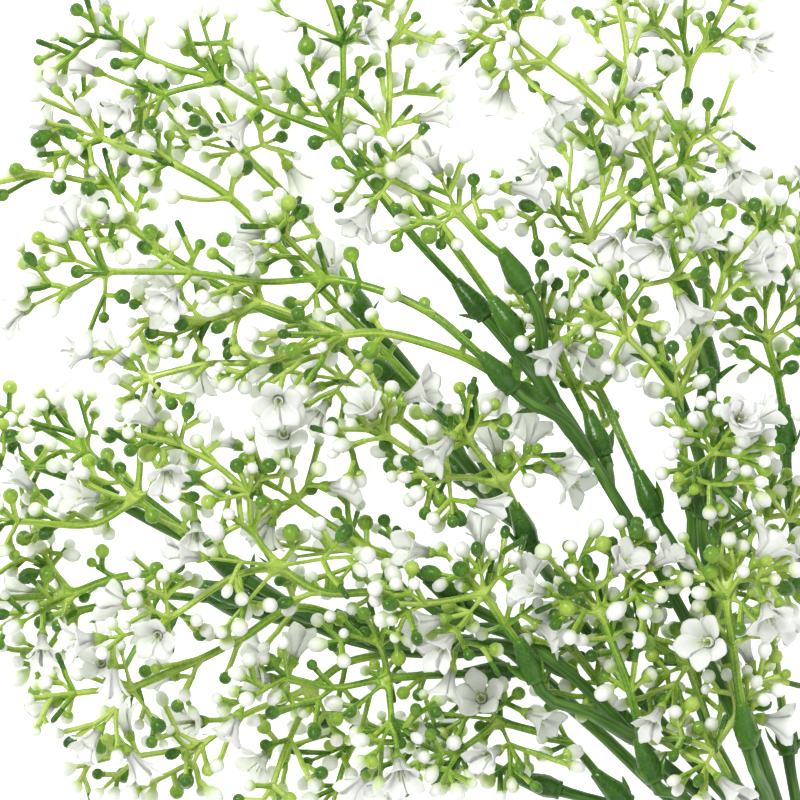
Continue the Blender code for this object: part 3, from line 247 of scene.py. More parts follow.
# Buds and flowers that only the finer pieces carry: u, v and the kind, a white bud where none is named.
# Each one's stalk grows from the nearest knot of its sprig.
extraEnds = {
    "01": "85 4 D, 34 21 P, 31 29 G, 41 20, 47.5 13.5 L, 60 12, 73 8, 77 13 G, 46 30, 82 28, 88 22 D, "
          "62 17 F, 92 -2, 26 7, 21 11, 17 17, 15 21, 47 8, 36 9",
    "02": "102 -4, 90 6, 99 20, 84 20 D, 66 25, 104 5 D, 75 15, 90 16 L, 110 12, 63 16, 106 22, 112 24",
    "03": "36 24 G, 27 31 D, 20 38, 44 26, 33 30, 49 36, 56 60 G, 10 25, 22 28, 44 50, 16 44, 68 55 L, "
          "11 31",
    "04": "48 24, 53 22, 41 36, 64 28 D, 50 38, 66 42, 55 25, 62 26, 46 33 D, 74 38",
    "05": "11 41, 5 43 G, 10 38, 17 58 D, 21 52 G, 28 62, 15 47 D, 36 47 D, 2 44, 1 49 D, 50 61 G, 23 61, "
          "38 51",
    "06": "106 76 G, 22 69 D, 11 71, 16 78, 59 73 D, 71 51, 69 60, 73 61 D, 33 60, 38 63 D, 18 60, 16 66, "
          "20 57 F, 26 62, 8 74, 24 86, 33 75 D, 45 62, 52 75, 54 64 L, 88 64 G, 79 62, 76 54 D, 66 64, "
          "70 55, 19 74, 98 74, 4 87",
    "07": "33 95, 33 101, 56 82 D, 72 84 D, 74 88 G, 45 88 L, 34 81, 33 86, 47 86, 60 68, 50 92 F, 58 96, "
          "48 100, 39 101, 70 92 D, 76 98, 64 84, 44 78 F, 58 88 D, 93 79, 36 72, 62 97, 67 97 G, 26 92",
    "08": "65 92, 78 80 G, 73 98, 88 103, 76 88 D, 92 99, 70 87, 84 86 F, 72 104 F, 96 95 D, 85 107, 64 98",
    "09": "78 122 D, 70 114, 84 128 G, 90 126, 65 127, 76 146, 68 136 G, 70 145 D, 62 118, 80 110, 63 108, "
          "74 112, 90 146, 86 121, 96 130 D, 68 131 F",
    "10": "84 113, 104 114 D, 110 125 G, 98 97, 92 92 L, 90 119, 108 107, 118 98 D, 126 105 G, 120 114, "
          "100 115, 95 113, 88 106, 83 107, 112 110 F, 104 103, 129 114, 98 119, 132 120, 122 126 F",
    "11": "31 108, 37 107 D, 42 124, 30 117 D, 22 128, 27 126 G, 14 126, 12 133 D, 7 125, 34 100 D, "
          "26 108, 42 107, 48 124 D, 38 129 G, 18 119, 16 130, 41 113, 1 126, 5 135 G, 52 128",
    "12": "19 108, 16 119 G, 26 109 D, -4 106, 5 105, 1 109 D, 28 116, 8 98, 18 98, 5 118",
    "13": "2 112 D, 10 124 D, -4 114, 6 109, -2 119 G, 12 111",
    "14": "17 139, 7 144 D, 20 150 D, -3 145, 7 139, 8 152, 22 141 G, 2 143, 30 150 D, 0 154 D, -3 159, "
          "24 154, 5 149 F, 32 139",
    "15": "2 167, 8 157 D, 6 150, 13 166, 22 158 G, 10 172, 26 150, -2 163, 4 165 G, 20 163",
    "16": "50 110, 60 116 D, 43 118 F, 39 108 D, 52 104, 57 109, 66 125 G, 73 118, 37 153, 36 146 D, "
          "44 146 G, 51 148, 62 152, 50 158 D, 54 137, 86 133 D, 96 133, 97 141, 76 134, 29 155, 27 162, "
          "48 143, 72 150 D, 58 128, 47 118, 34 108, 60 122 D, 78 144, 90 143 G, 35 142, 88 152",
    "17": "28 169, 39 167 L, 36 168 D, 18 185 D, 26 178, 15 183, 46 174, 44 177 D, 35 181, 25 166 G, "
          "12 170, 8 174, 30 188, 52 159, 56 170 D, 35 160, 24 160 F, 41 186, 10 182, 20 168, 66 162",
    "18": "13 187, 16 193, 43 189 D, 46 182 F, 18 198, 30 195 D, 28 186 G, 54 192, 66 187 D, 62 197, "
          "78 197, 74 180, 80 181 D, 70 176, 56 181, 38 196, 88 180, 40 176, 50 199, 60 174 G, 90 192 D, "
          "36 186, 32 199, 64 192 F, 84 178, 24 194 D, 70 199, 94 172",
    "19": "91 158 D, 97 154, 102 160, 78 166 D, 66 164, 76 178, 68 178 D, 104 184, 90 184, 95 196, "
          "84 180 G, 60 168, 104 177 D, 80 161, 106 162 F, 86 165, 100 186 D, 74 163 F, 64 180, 110 175, "
          "56 177",
    "20": "96 184, 82 193, 80 184, 70 189, 110 196 D, 104 180 D, 92 195 D, 76 198, 120 196, 90 182, "
          "68 183 G, 102 196, 112 183, 98 192",
    "21": "120 187, 110 184, 112 192 D, 130 174 G, 126 172, 136 190, 104 182, 118 196, 138 178 D, 113 174, "
          "124 188 F, 128 196, 101 192, 134 197 D, 144 192, 106 174",
    "22": "107 155 F, 112 151 L, 111 161, 117 163 D, 102 148, 104 158 D, 94 149, 123 138, 114 141, "
          "128 146 G, 118 156, 108 143 D, 110 137, 126 133 D, 98 150 D, 134 150, 124 162, 132 143 F",
    "23": "144 153, 134 155, 136 163 D, 150 160 D, 142 172, 130 166, 152 166, 148 178 G, 134 173, "
          "128 156 D, 145 148, 140 148",
    "24": "147 142 D, 145 146 G, 156 138, 159 146 D, 136 147, 142 136, 160 152, 148 132, 158 132 D, "
          "138 153 D, 164 148, 170 144, 135 137, 154 130, 161 160 G, 162 133",
    "25": "168 148, 155 164, 163 168 D, 158 148, 150 156 D, 176 160, 160 154 G, 174 153, 182 171 G, "
          "168 182, 166 175 D, 156 176, 151 164, 180 166, 158 166 F, 170 172",
    "26": "169 179 L, 174 181 G, 190 176 D, 186 167, 176 172, 163 184, 168 188 D, 176 199, 168 194, "
          "192 166, 156 182, 194 172",
    "27": "131 72, 139 71 D, 150 79 G, 126 80 D, 140 77, 150 88, 132 80, 127 71, 152 92 D, 136 90, 130 86, "
          "143 68",
    "28": "138 75, 146 76, 130 90 D, 136 81 F, 151 86, 126 92, 142 96 D, 133 100, 154 104 G, 128 84",
    "29": "153 73 D, 160 76 D, 146 83, 148 88 G, 165 55, 174 51 D, 180 60 D, 190 51, 172 92, 162 88, "
          "184 62, 170 62, 176 56, 187 52 D, 196 56, 164 66, 173 69 D, 143 76, 152 67, 186 69, 172 104 D, "
          "165 48, 160 60 D, 176 83, 151 92, 158 68, 193 60, 174 61 F",
    "30": "167 38, 174 32, 162 32, 158 47 D, 142 29, 150 38 D, 136 50, 139 44 D, 162 43, 160 53, 148 44 F, "
          "175 40, 146 30 D, 138 30, 152 30, 158 31, 132 52 D, 154 66 G, 158 60, 180 32, 130 58, 183 40, "
          "165 27, 142 63, 144 50, 134 62 D",
    "31": "158 14 D, 168 13 D, 160 25, 154 15, 172 24 D, 166 28, 178 3.5 D, 158 8, 170 2, 176 10, 186 5, "
          "184 27, 180 50 D, 147 7, 162 0, 168 8 F, 182 12, 184 18, 150 12, 172 -4 D, 189 1",
    "32": "128 6 D, 123 10, 131 3 D, 140 12, 126 18, 133 23 D, 151 24, 160 20, 149 14, 160 6, 150 2, "
          "148 36 D, 139 29 F, 120 20, 157 27 D, 143 20, 137 5, 115 9, 144 4 D, 128 0 F, 163 30",
    "33": "188 79 D, 196 86, 188 71, 196 72 D, 203 78, 195 64, 186 88 G, 180 76, 198 92 D, 182 84, 193 72, "
          "204 84",
    "34": "178 103 D, 172 122 L, 184 110, 190 109, 180 122 D, 166 113, 168 108, 188 120, 193 112 D, "
          "189 104 F, 176 99, 164 118",
    "35": "98 44, 94 47 D, 93 52, 105 47, 112 44, 118 46 D, 110 62 D, 101 56, 120 57 G, 104 38, 87 47, "
          "94 38, 116 40, 96 60, 126 54, 85 53 D, 124 44, 106 34 D, 88 37, 114 62",
    "36": "176 142 G, 184 142, 192 144, 196 138, 174 150 D, 188 131, 170 134, 180 128 D, 190 158, 175 158, "
          "166 142, 184 154 F",
    "37": "186 135, 196 140, 184 124, 194 126 D, 200 134, 202 126, 178 136 D, 194 117, 198 153, 186 146 D, "
          "190 121 F, 180 126, 202 142 D, 204 120",
    "38": "208 102 D, 217 108, 207 94, 200 104, 217 119, 205 113 G, 210 120, 222 112, 204 106 D",
    "39": "230 125 D, 224 128, 236 124, 241 127, 228 116, 238 138, 246 126, 240 114 D",
    "40": "198 52, 205 51 D, 212 60, 196 62, 209 48, 188 54 D, 206 68 G, 199 43, 190 64, 212 52",
}

cosine, sine = math.cos(layout["slant"]), math.sin(layout["slant"])


def place(u, v, height):
    # from the plane that is seen to the frame
    right, up = u - layout["fork"][0], layout["fork"][1] - v
    return Vector((layout["forkX"] + cosine * right + sine * up, cosine * up - sine * right, height))


def flatOf(point):
    # from the frame back to the plane that is seen
    x = point.x - layout["forkX"]
    right, up = cosine * x - sine * point.y, sine * x + cosine * point.y
    return layout["fork"][0] + right, layout["fork"][1] - up


def headingOf(before, point):
    u0, v0 = flatOf(before)
    u1, v1 = flatOf(point)
    return math.atan2(v1 - v0, u1 - u0)


def turnBetween(first, second):
    return abs(math.remainder(first - second, math.tau))


def outFrom(spot, angle, length):
    return spot[0] + length * math.cos(angle), spot[1] + length * math.sin(angle)


def across(axis):
    # a level direction square to the axis, or another one where the axis is nearly upright
    side = axis.cross(Vector((0.0, 0.0, 1.0)))
    if side.length < 0.2:
        side = axis.cross(Vector((1.0, 0.0, 0.0)))
    return side.normalized()


def routeLengths(start, points):
    # how far along a flat route each of its points lies
    total, found = 0.0, []
    for before, point in zip([start, *points], points):
        total += math.dist(before, point)
        found.append(total)
    return found


def rowDots(p, q):
    return np.einsum("ij,ij->i", p, q)


def segmentGaps(a, b, starts, ends):
    # distances between one segment and each of many others
    tiny = 1e-9
    own, other, apart = b - a, ends - starts, a - starts
    ownOwn = max(float(own @ own), tiny)
    otherOther = np.maximum(rowDots(other, other), tiny)
    otherApart, ownApart, ownOther = rowDots(other, apart), apart @ own, other @ own
    spread = ownOwn * otherOther - ownOther * ownOther
    nearest = (ownOther * otherApart - ownApart * otherOther) / np.maximum(spread, tiny)
    s = np.where(spread > tiny, np.clip(nearest, 0.0, 1.0), 0.0)
    t = np.clip((ownOther * s + otherApart) / otherOther, 0.0, 1.0)
    s = np.clip((ownOther * t - ownApart) / ownOwn, 0.0, 1.0)
    t = np.clip((ownOther * s + otherApart) / otherOther, 0.0, 1.0)
    gap = (a + s[:, None] * own) - (starts + t[:, None] * other)
    return np.sqrt(rowDots(gap, gap))


class Space:
    # what is already there, as capsules, so that a new twig keeps clear of it
    def __init__(self):
        self.rows, self.owners, self.knots, self.table = [], [], [], None

    def add(self, a, b, radius, owner, knots):
        self.rows.append((*a, *b, radius))
        self.owners.append(owner)
        self.knots.append(knots)
        self.table = None

    def arrays(self):
        if self.table is None:
            rows = np.array(self.rows)
            starts, ends = rows[:, 0:3], rows[:, 3:6]
            halves = 0.5 * np.linalg.norm(ends - starts, axis=1)
            self.table = (starts, ends, rows[:, 6], np.array(self.owners), 0.5 * (starts + ends), halves)
        return self.table

    def clearance(self, a, b, radius, owner, knot=None):
        # the least gap to what is near; a twig that shares the knot counts only past its first stretch
        starts, ends, radii, owners, middles, halves = self.arrays()
        a, b = np.array(a), np.array(b)
        within, between = layout["gapWithin"], layout["gapBetween"]
        span = 0.5 * math.dist(a, b) + radius + max(within, between) + layout["nearMargin"]
        near = np.nonzero(np.linalg.norm(middles - 0.5 * (a + b), axis=1) < halves + radii + span)[0]
        worst = float(min(a[2], b[2]) - radius)
        if len(near) == 0:
            return worst
        own = owners[near] == owner
        gaps = segmentGaps(a, b, starts[near], ends[near]) - radii[near] - radius
        gaps -= np.where(own, within, between)
        joined = np.array([knot is not None and knot in self.knots[k] for k in near]) & own
        if joined.any():
            met = near[joined]
            turned = np.array([self.knots[k][0] != knot for k in met])[:, None]
            first = np.where(turned, ends[met], starts[met])
            last = np.where(turned, starts[met], ends[met])
            mine = a + layout["farShare"] * (b - a)
            past = segmentGaps(mine, b, first + layout["farShare"] * (last - first), last)
            gaps[joined] = past - radii[met] - radius - within
        return min(worst, float(gaps.min()))


space = Space()


class Twig:
    def __init__(self, path, level, end, owner, knot, seed, row):
        self.path, self.level, self.end, self.owner = path, level, end, owner
        self.knot, self.seed, self.row = knot, seed, row
        self.foot = flowerFoot(path) if end == "F" else path[-1]
        self.firstLeg = (path[1] - path[0]).length  # kept, because forks add points to the path
        self.forks, self.children, self.extras = {}, [], []


def byLevel(values, level):
    return values[min(level, len(values) - 1)]


def twigRadius(level, end):
    return layout["stalkRadius"] if end in endings else byLevel(layout["twigRadii"], level)


def drawFor(u, v):
    # random numbers that belong to a place, whatever else is drawn
    return random.Random(int(round(u * 10)) * 7919 + int(round(v * 10)) * 104729)


def flowerFoot(path):
    leg = path[-1] - path[-2]
    back = min(layout["setBack"], max(leg.length - layout["flowerStalk"], 0.0))
    return path[-1] - back * leg.normalized()


def endCapsules(path, end, draw):
    # the room that a bud, a peg or a flower takes
    if end not in endings:
        return []
    tip, axis = path[-1], (path[-1] - path[-2]).normalized()
    if end == "F":
        foot = flowerFoot(path)
        waist = foot + layout["waistHeight"] * layout["flowerLength"] * axis
        brim = foot + layout["brimHeight"] * layout["flowerLength"] * axis
        rim = layout["flowerRadius"] - layout["brimShrink"]
        return [(foot, waist, layout["waistRadius"]), (brim, brim + layout["brimWall"] * axis, rim)]
    if end == "K":
        return [(tip, tip + layout["pegLength"] * axis, layout["pegRadius"])]
    radius = layout["budRadius"] + draw.uniform(-layout["budSpread"], layout["budSpread"])
    low, high = layout["budSpan"]
    return [(tip + low * axis, tip + high * axis, radius)]


def splitEntry(entry):
    points = [item for item in entry if isinstance(item, tuple)]
    letters = [item for item in entry if isinstance(item, str)]
    grown = [item for item in entry if isinstance(item, list)]
    return points, (letters[0] if letters else ("" if grown else "N")), grown


def reach(entry, start):
    # the way from a twig's start to the furthest tip that grows from it
    points, _, grown = splitEntry(entry)
    return routeLengths(start, points)[-1] + max((reach(g, points[-1]) for g in grown), default=0.0)


def tryPath(start, flat, legs, rise, radius, owner, knot, end, draw):
    # a twig's route with one rise, or None where something is in its way
    path = [start]
    for spot, way in zip(flat, legs):
        path.append(place(*spot, start.z + rise * way / max(legs[-1], 0.1)))
    stop = len(path) - 1
    for k in range(stop):
        a, b = path[k], path[k + 1]
        if k == stop - 1 and end == "F":
            b = flowerFoot(path)
        elif k == stop - 1 and end in buds:
            b = b - (b - a).normalized() * min(layout["budRadius"], 0.5 * (b - a).length)
        if space.clearance(a, b, radius, owner, knot if k == 0 else None) < 0.0:
            return None
    if any(space.clearance(a, b, r, owner) < 0.0 for a, b, r in endCapsules(path, end, draw)):
        return None
    return path


def settle(path, radius, owner, knots, end, draw):
    # puts a twig among what is there, and gives the row of its last stretch
    last = len(path) - 2
    for k in range(len(path) - 1):
        first = knots[0] if k == 0 else (knots[1], k)
        second = knots[1] if k == last else (knots[1], k + 1)
        stop = flowerFoot(path) if k == last and end == "F" else path[k + 1]
        space.add(path[k], stop, radius, owner, (first, second))
    row = len(space.rows) - 1
    for a, b, r in endCapsules(path, end, draw):
        space.add(a, b, r, owner, (None, None))
    return row


def placeTwig(start, entry, level, tipHeight, owner, knot, newKnot):
    # finds a height for a twig that keeps it clear of all that is there, or gives None
    points, end, grown = splitEntry(entry)
    radius = twigRadius(level, end) * layout["fullness"]
    legs = routeLengths(flatOf(start), points)
    wanted = (tipHeight - start.z) * legs[-1] / max(reach(entry, flatOf(start)), 1.0)
    draw = drawFor(*points[-1])
    wanted += draw.uniform(-layout["jitter"], layout["jitter"]) * legs[-1]
    sign = draw.choice((-1.0, 1.0))
    steps = [0.0]
    for k in range(1, layout["heightSteps"] + 1):
        steps += [sign * layout["heightStep"] * k, -sign * layout["heightStep"] * k]
    seed = draw.random()
    for step in steps:
        if abs(wanted + step) > layout["slopeLimit"] * legs[-1] + layout["slopeSlack"]:
            continue
        path = tryPath(start, points, legs, wanted + step, radius, owner, knot, end, random.Random(seed))
        if path:
            row = settle(path, radius, owner, (knot, newKnot), end, random.Random(seed))
            return Twig(path, level, end, owner, newKnot, seed, row), grown
    return None


def limbPoints(row):
    # a limb's points, the number of its sprig and the direction of the sprig's collar
    number = row[-1]
    points = [place(*p) for p in row[:-1]]
    top = next(sprig[2] for sprig in sprigRoutes if sprig[0] == number)
    rise = layout["collarRise"] * (points[-1].z - points[-2].z)
    return points, number, (place(*top, points[-1].z + rise) - points[-1]).normalized()


def umbel(twig):
    # the small head of a twig that names no end
    spot = flatOf(twig.path[-1])
    draw = drawFor(*spot)
    heading = headingOf(twig.path[-2], twig.path[-1])
    grown = []
    for k in range(layout["umbelStalks"]):
        part = 2.0 * (k + 0.5) / layout["umbelStalks"] - 1.0
        wobble = draw.uniform(-layout["umbelWobble"], layout["umbelWobble"])
        angle = heading + math.radians(layout["umbelAngle"] * part + wobble)
        length = layout["umbelLength"] * draw.uniform(*layout["umbelSpread"])
        letter = draw.choice(layout["umbelKinds"])
        grown.append([outFrom(spot, angle, length), letter])
    return grown


def placeSprigs():
    # collars first, then all the sprigs at once, a level of twigs at a time
    collars, stems, waiting = {}, {}, []
    for row in limbRoutes:
        points, number, axis = limbPoints(row)
        collars[number] = (points[-1], axis)
        for a, b in zip(points, points[1:]):
            space.add(a, b, layout["limbRoom"] * layout["limbRadius"], "limbs", (None, None))
    middle, bulge = layout["collarMiddle"], layout["collarBulge"]
    for number, tipHeight, _, entry in sprigRoutes:
        rim, axis = collars[number]
        start = rim + layout["collarLength"] * axis
        knot = ("top", number)
        space.add(rim + layout["stubNeck"] * axis, rim + middle * axis, bulge, number, (None, knot))
        space.add(rim + middle * axis, start, layout["collarNeck"] * bulge, number, (None, knot))
        waiting.append((number, start, tipHeight, entry, 0, knot, None))
    count = 0
    while waiting:
        following = []
        for number, start, tipHeight, entry, level, knot, parent in waiting:
            count += 1
            made = placeTwig(start, entry, level, tipHeight, number, knot, count)
            if made is None:
                continue
            twig, grown = made
            if parent is None:
                stems[number] = twig
            else:
                parent.children.append(twig)
            for child in umbel(twig) if twig.end == "N" else grown:
                following.append((number, twig.path[-1], tipHeight, child, level + 1, count, twig))
        waiting = following
    return collars, stems


collars, stems = placeSprigs()
print("placed", len(stems), "sprigs")


# More buds and flowers than the solids carry, on stalks from the same knots and from forks on other stalks
dense = {
    "kinds": "WWWWWWWWWDDGLKFFFFF",  # a letter that stands more often is drawn more often
    "wantedRays": 6, "passingRays": 2, "fullRays": 10, "fullPassing": 4, "fullPlace": (98.0, 104.0),
    "rayLength": (4.8, 8.0), "flowerRay": (6.4, 9.6), "raySpread": 76.0, "rayLean": (-0.5, 0.7),
    "tries": 8, "trials": 8, "drawAside": 3.0, "sameKnot": 0.5,
    "sideLength": (3.6, 6.2), "sideAngle": (26.0, 58.0), "sideStart": (0.42, 0.6), "sideLean": (-0.6, 0.8),
    "forkLeast": 4.8, "forkShares": (0.85, 0.6),
    "shortest": 3.4, "longest": 15.0, "widest": 165.0, "anchors": 9, "forkBonus": 0.8,
    "firstLean": (-0.3, 0.6), "otherLeans": (0.9, -0.6),
    "sideLimit": 7.5, "topLimit": 2.5, "tableGap": 0.5, "flowerAhead": 9.0, "budAhead": 2.0,
}


def allTwigs(twig):
    yield twig
    for child in twig.children + twig.extras:
        yield from allTwigs(child)


def inBox(point):
    # inside the room that the finer pieces have round the solids
    low, high = cadLow / mm, cadHigh / mm
    level = all(low[k] - dense["sideLimit"] < point[k] < high[k] + dense["sideLimit"] for k in (0, 1))
    return level and dense["tableGap"] < point[2] < high[2] + dense["topLimit"]


def splitTwig(twig, share):
    # a fork on a twig's last stretch, so that a side stalk can leave it
    row, (first, last) = space.rows[twig.row], space.knots[twig.row]
    spot = twig.path[-2] + share * (twig.foot - twig.path[-2])
    knot = (twig.knot, "fork", len(twig.path))
    space.rows[twig.row] = (*row[0:3], *spot, row[6])
    space.knots[twig.row] = (first, knot)
    space.add(spot, row[3:6], row[6], twig.owner, (knot, last))
    twig.row = len(space.rows) - 1
    twig.path.insert(-1, spot)
    twig.forks[len(twig.path) - 2] = knot
    return spot, knot


def growRay(twig, point, knot, spot, letter, lean):
    # a bare stalk with its bud or flower from a point of a twig
    height = point.z + lean * math.dist(flatOf(point), spot)
    made = placeTwig(point, [spot, letter], twig.level + 1, height, twig.owner, knot, (twig.knot, *spot))
    if made is None:
        return False
    path = made[0].path
    ahead = dense["flowerAhead" if letter == "F" else "budAhead"]
    if not inBox(path[-1] + ahead * (path[-1] - path[-2]).normalized()):
        return False
    twig.extras.append(made[0])
    return True


def anchorsOf(stem):
    # where a stalk may leave: twig, point, its knot (none where a fork isn't made yet) and the point before
    found = []
    for twig in allTwigs(stem):
        last = len(twig.path) - 1
        for k in range(1, last):
            if k in twig.forks or twig.knot in stemKnots:
                found.append((twig, twig.path[k], twig.forks.get(k, (twig.knot, k)), twig.path[k - 1]))
        if twig.children:
            found.append((twig, twig.path[last], twig.knot, twig.path[last - 1]))
        elif (twig.foot - twig.path[-2]).length > dense["forkLeast"] and len(twig.path) == 2:
            found.append((twig, 0.5 * (twig.path[-2] + twig.foot), None, twig.path[-2]))
    return found


def growEnd(stem, spot, letter):
    # the nearest knots or forks are tried in turn, as long as the stalk doesn't turn back
    ranked = []
    for order, (twig, point, knot, before) in enumerate(anchorsOf(stem)):
        here = flatOf(point)
        way = math.dist(here, spot)
        turn = turnBetween(math.atan2(spot[1] - here[1], spot[0] - here[0]), headingOf(before, point))
        if dense["shortest"] < way < dense["longest"] and math.degrees(turn) < dense["widest"]:
            cost = way * (1.0 + turn * turn) * (1.0 if knot else dense["forkBonus"])
            ranked.append((cost, order, twig, point, knot))
    draw = drawFor(*spot)
    for _, _, twig, point, knot in sorted(ranked)[:dense["anchors"]]:
        if knot is None:
            point, knot = splitTwig(twig, 0.5)
        for lean in (draw.uniform(*dense["firstLean"]), *dense["otherLeans"]):
            if growRay(twig, point, knot, spot, letter, lean):
                return True
    return False


def growChosen():
    # the ends that are listed
    missed = 0
    for number, ends in extraEnds.items():
        for item in ends.split(", "):
            u, v, *letter = item.split()
            missed += not growEnd(stems[number], (float(u), float(v)), letter[0] if letter else "W")
    return missed


def drawEnd(draw, spot, angle, kindsLength):
    # what a drawn stalk carries and where
    letter = draw.choice(dense["kinds"])
    length = draw.uniform(*dense["flowerRay" if letter == "F" else kindsLength])
    return letter, outFrom(spot, angle, length)


def fillKnots():
    # each knot gets stalks in its widest gaps, fanned forwards, until it has a full head
    count = 0
    for stem in stems.values():
        for twig, point, knot, before in anchorsOf(stem):
            if knot is None:
                continue
            here, heading = flatOf(point), headingOf(before, point)
            draw = drawFor(here[0] + dense["drawAside"], here[1])
            angles = []
            for other in twig.children + twig.extras:
                if (other.path[0] - point).length < dense["sameKnot"]:
                    angles.append(headingOf(point, other.path[1]))
            full = here[0] > dense["fullPlace"][0] and here[1] > dense["fullPlace"][1]
            if point is twig.path[-1]:
                wanted = dense["fullRays" if full else "wantedRays"]
            else:
                wanted = dense["fullPassing" if full else "passingRays"]
            spread = math.radians(dense["raySpread"])
            for _ in range(dense["tries"]):
                if len(angles) >= wanted:
                    break
                trials = [heading + draw.uniform(-spread, spread) for _ in range(dense["trials"])]
                rooms = [min((turnBetween(t, a) for a in angles), default=math.tau) for t in trials]
                best = trials[rooms.index(max(rooms))]
                letter, spot = drawEnd(draw, here, best, "rayLength")
                if growRay(twig, point, knot, spot, letter, draw.uniform(*dense["rayLean"])):
                    angles.append(best)
                    count += 1
    return count


def forkStalks(share):
    # bare stalks fork once more, so that buds stand in twos and threes
    count = 0
    for stem in stems.values():
        for twig in list(allTwigs(stem)):
            length = (twig.foot - twig.path[-2]).length
            draw = drawFor(twig.path[-1].x, twig.path[-1].y)
            if twig.children or twig.end == "F" or length < dense["forkLeast"] or draw.random() > share:
                continue
            heading = headingOf(twig.path[-2], twig.path[-1])
            point, knot = splitTwig(twig, draw.uniform(*dense["sideStart"]))
            for sign in draw.choice(((1, -1), (-1, 1))):
                angle = heading + sign * math.radians(draw.uniform(*dense["sideAngle"]))
                letter, spot = drawEnd(draw, flatOf(point), angle, "sideLength")
                if growRay(twig, point, knot, spot, letter, draw.uniform(*dense["sideLean"])):
                    count += 1
                    break
    return count


stemKnots = {twig.knot for stem in stems.values() for twig in allTwigs(stem)}
print("chosen ends that found no room:", growChosen())
print("stalks that fill knots:", fillKnots())
print("forked stalks:", [forkStalks(share) for share in dense["forkShares"]])
tally = {}
for stem in stems.values():
    for twig in allTwigs(stem):
        tally[twig.end] = tally.get(twig.end, 0) + 1
print("ends by kind:", tally)


# Shapes that repeat, made once about their own axis, +Z towards the tip. Profile rows are height, radius and
# tone: in millimetres, in parts of its radius for a bud or cup, a tube's heights in parts of the flower's.
heads = {
    "budSides": 12, "collarSides": 20, "pegSides": 8, "stamenSides": 5, "tubeSides": 10,
    "bud": ((-1.5, 0.0, 0.0), (-1.46, 0.27, 0.0), (-1.08, 0.36, 0.0), (-0.80, 0.68, 0.0),
            (-0.34, 0.97, 0.4), (0.22, 0.98, 1.0), (0.70, 0.70, 1.0), (1.0, 0.0, 1.0)), "budSlim": 0.15,
    "cup": ((-1.62, 0.0, 0.62), (-1.6, 0.29, 0.62), (-1.14, 0.42, 0.66), (-0.92, 0.66, 0.72),
            (-0.66, 0.86, 0.80), (-0.62, 0.78, 0.84), (-0.8, 0.5, 0.8), (-0.86, 0.0, 0.8)),
    "calyx": ((-1.5, 0.0, 0.55), (-1.48, 0.5, 0.55), (-0.7, 0.66, 0.6), (0.1, 1.12, 0.62), (1.05, 1.42, 0.7),
              (1.02, 1.24, 0.8), (0.3, 0.8, 0.8), (0.2, 0.0, 0.8)),
    "lobes": 5.0, "lobeFrom": 1.0, "lobeOut": 0.22, "lobeUp": 1.1,
    "peg": ((-0.4, 0.0, 0.3), (-0.4, 0.5, 0.3), (0.4, 0.72, 0.22), (3.6, 0.8, 0.12), (4.4, 0.55, 0.1),
            (4.5, 0.0, 0.1)),
    "bract": ((-0.5, 0.0, 0.3), (-0.4, 0.3, 0.3), (0.8, 0.46, 0.22), (1.9, 0.36, 0.14), (2.7, 0.14, 0.1),
              (3.0, 0.0, 0.1)), "bractFlat": 0.5, "bractBend": 0.12,
    "collar": ((5.0, 0.0, 0.0), (5.0, 1.58, 0.0), (0.15, 1.6, 0.0), (0.0, 1.7, 0.05), (0.0, 2.2, 0.04),
               (0.4, 2.5, 0.16), (0.95, 2.55, 0.14), (1.25, 2.4, 0.03), (2.2, 2.66, 0.1), (3.8, 2.95, 0.12),
               (5.2, 2.86, 0.12), (7.0, 2.5, 0.14), (9.0, 2.04, 0.16), (10.8, 1.7, 0.2), (12.0, 1.5, 0.26),
               (12.1, 0.0, 0.26)),
    "ridges": 5.0, "ridgeTwist": 0.4, "ridgeDepth": 0.035, "ridgeSpan": (1.3, 10.0), "ridgeOutside": 1.6,
    "scallops": 2.5, "scallopDepth": 0.35, "scallopSpan": (0.1, 1.0),
    "tube": ((0.0, 0.0, 0.0), (0.0, 0.8, 0.0), (0.1, 1.05, 0.15), (0.22, 1.12, 0.4), (0.34, 1.1, 0.5),
             (0.35, 0.9, 0.5), (0.3, 0.7, 0.2), (0.25, 0.0, 0.1)),
    "stamen": ((0.0, 0.0, 0.0), (0.0, 0.2, 0.0), (3.6, 0.17, 0.05), (3.8, 0.34, 0.1), (4.3, 0.0, 0.1)),
    "stamens": 3, "throat": 0.26, "stamenOut": 0.35, "stamenLean": 0.16, "petals": 5, "petalTurn": 0.14,
    "petalSpread": (-0.25, 0.3), "innerClosed": 0.6, "smoothing": 1,
}
# A petal: half its width along it, then what bends it, with start, rise and droop in parts of its flower
petals = {
    "outline": ((0.0, 1.0), (0.24, 1.3), (0.45, 2.1), (0.64, 2.9), (0.81, 3.1), (0.93, 2.4), (1.0, 1.1)),
    "columns": 6, "wall": 0.26, "thinEdge": 0.35, "foot": 1.15, "spread": 3.3, "openSpread": 1.2, "bend": 2.1,
    "openBend": 0.6, "innerShare": 0.7, "start": 0.18, "rise": 0.8, "lift": (-0.12, 0.08), "droop": 0.2,
    "leastOut": 1.3, "widest": 0.8, "ruffle": 0.2, "waves": 2.6, "roundness": 0.07, "overlap": 0.32,
    "fold": 0.5,
}


def addObject(name, data):
    made = bpy.data.objects.new(name, data)
    bpy.context.scene.collection.objects.link(made)
    return made


def meshOf(name, verts, faces, tones):
    mesh = bpy.data.meshes.new(name)
    mesh.from_pydata([Vector(v) * mm for v in verts], [], faces)
    mesh.validate()
    mesh.attributes.new("tone", "FLOAT", "POINT").data.foreach_set("value", tones)
    return mesh


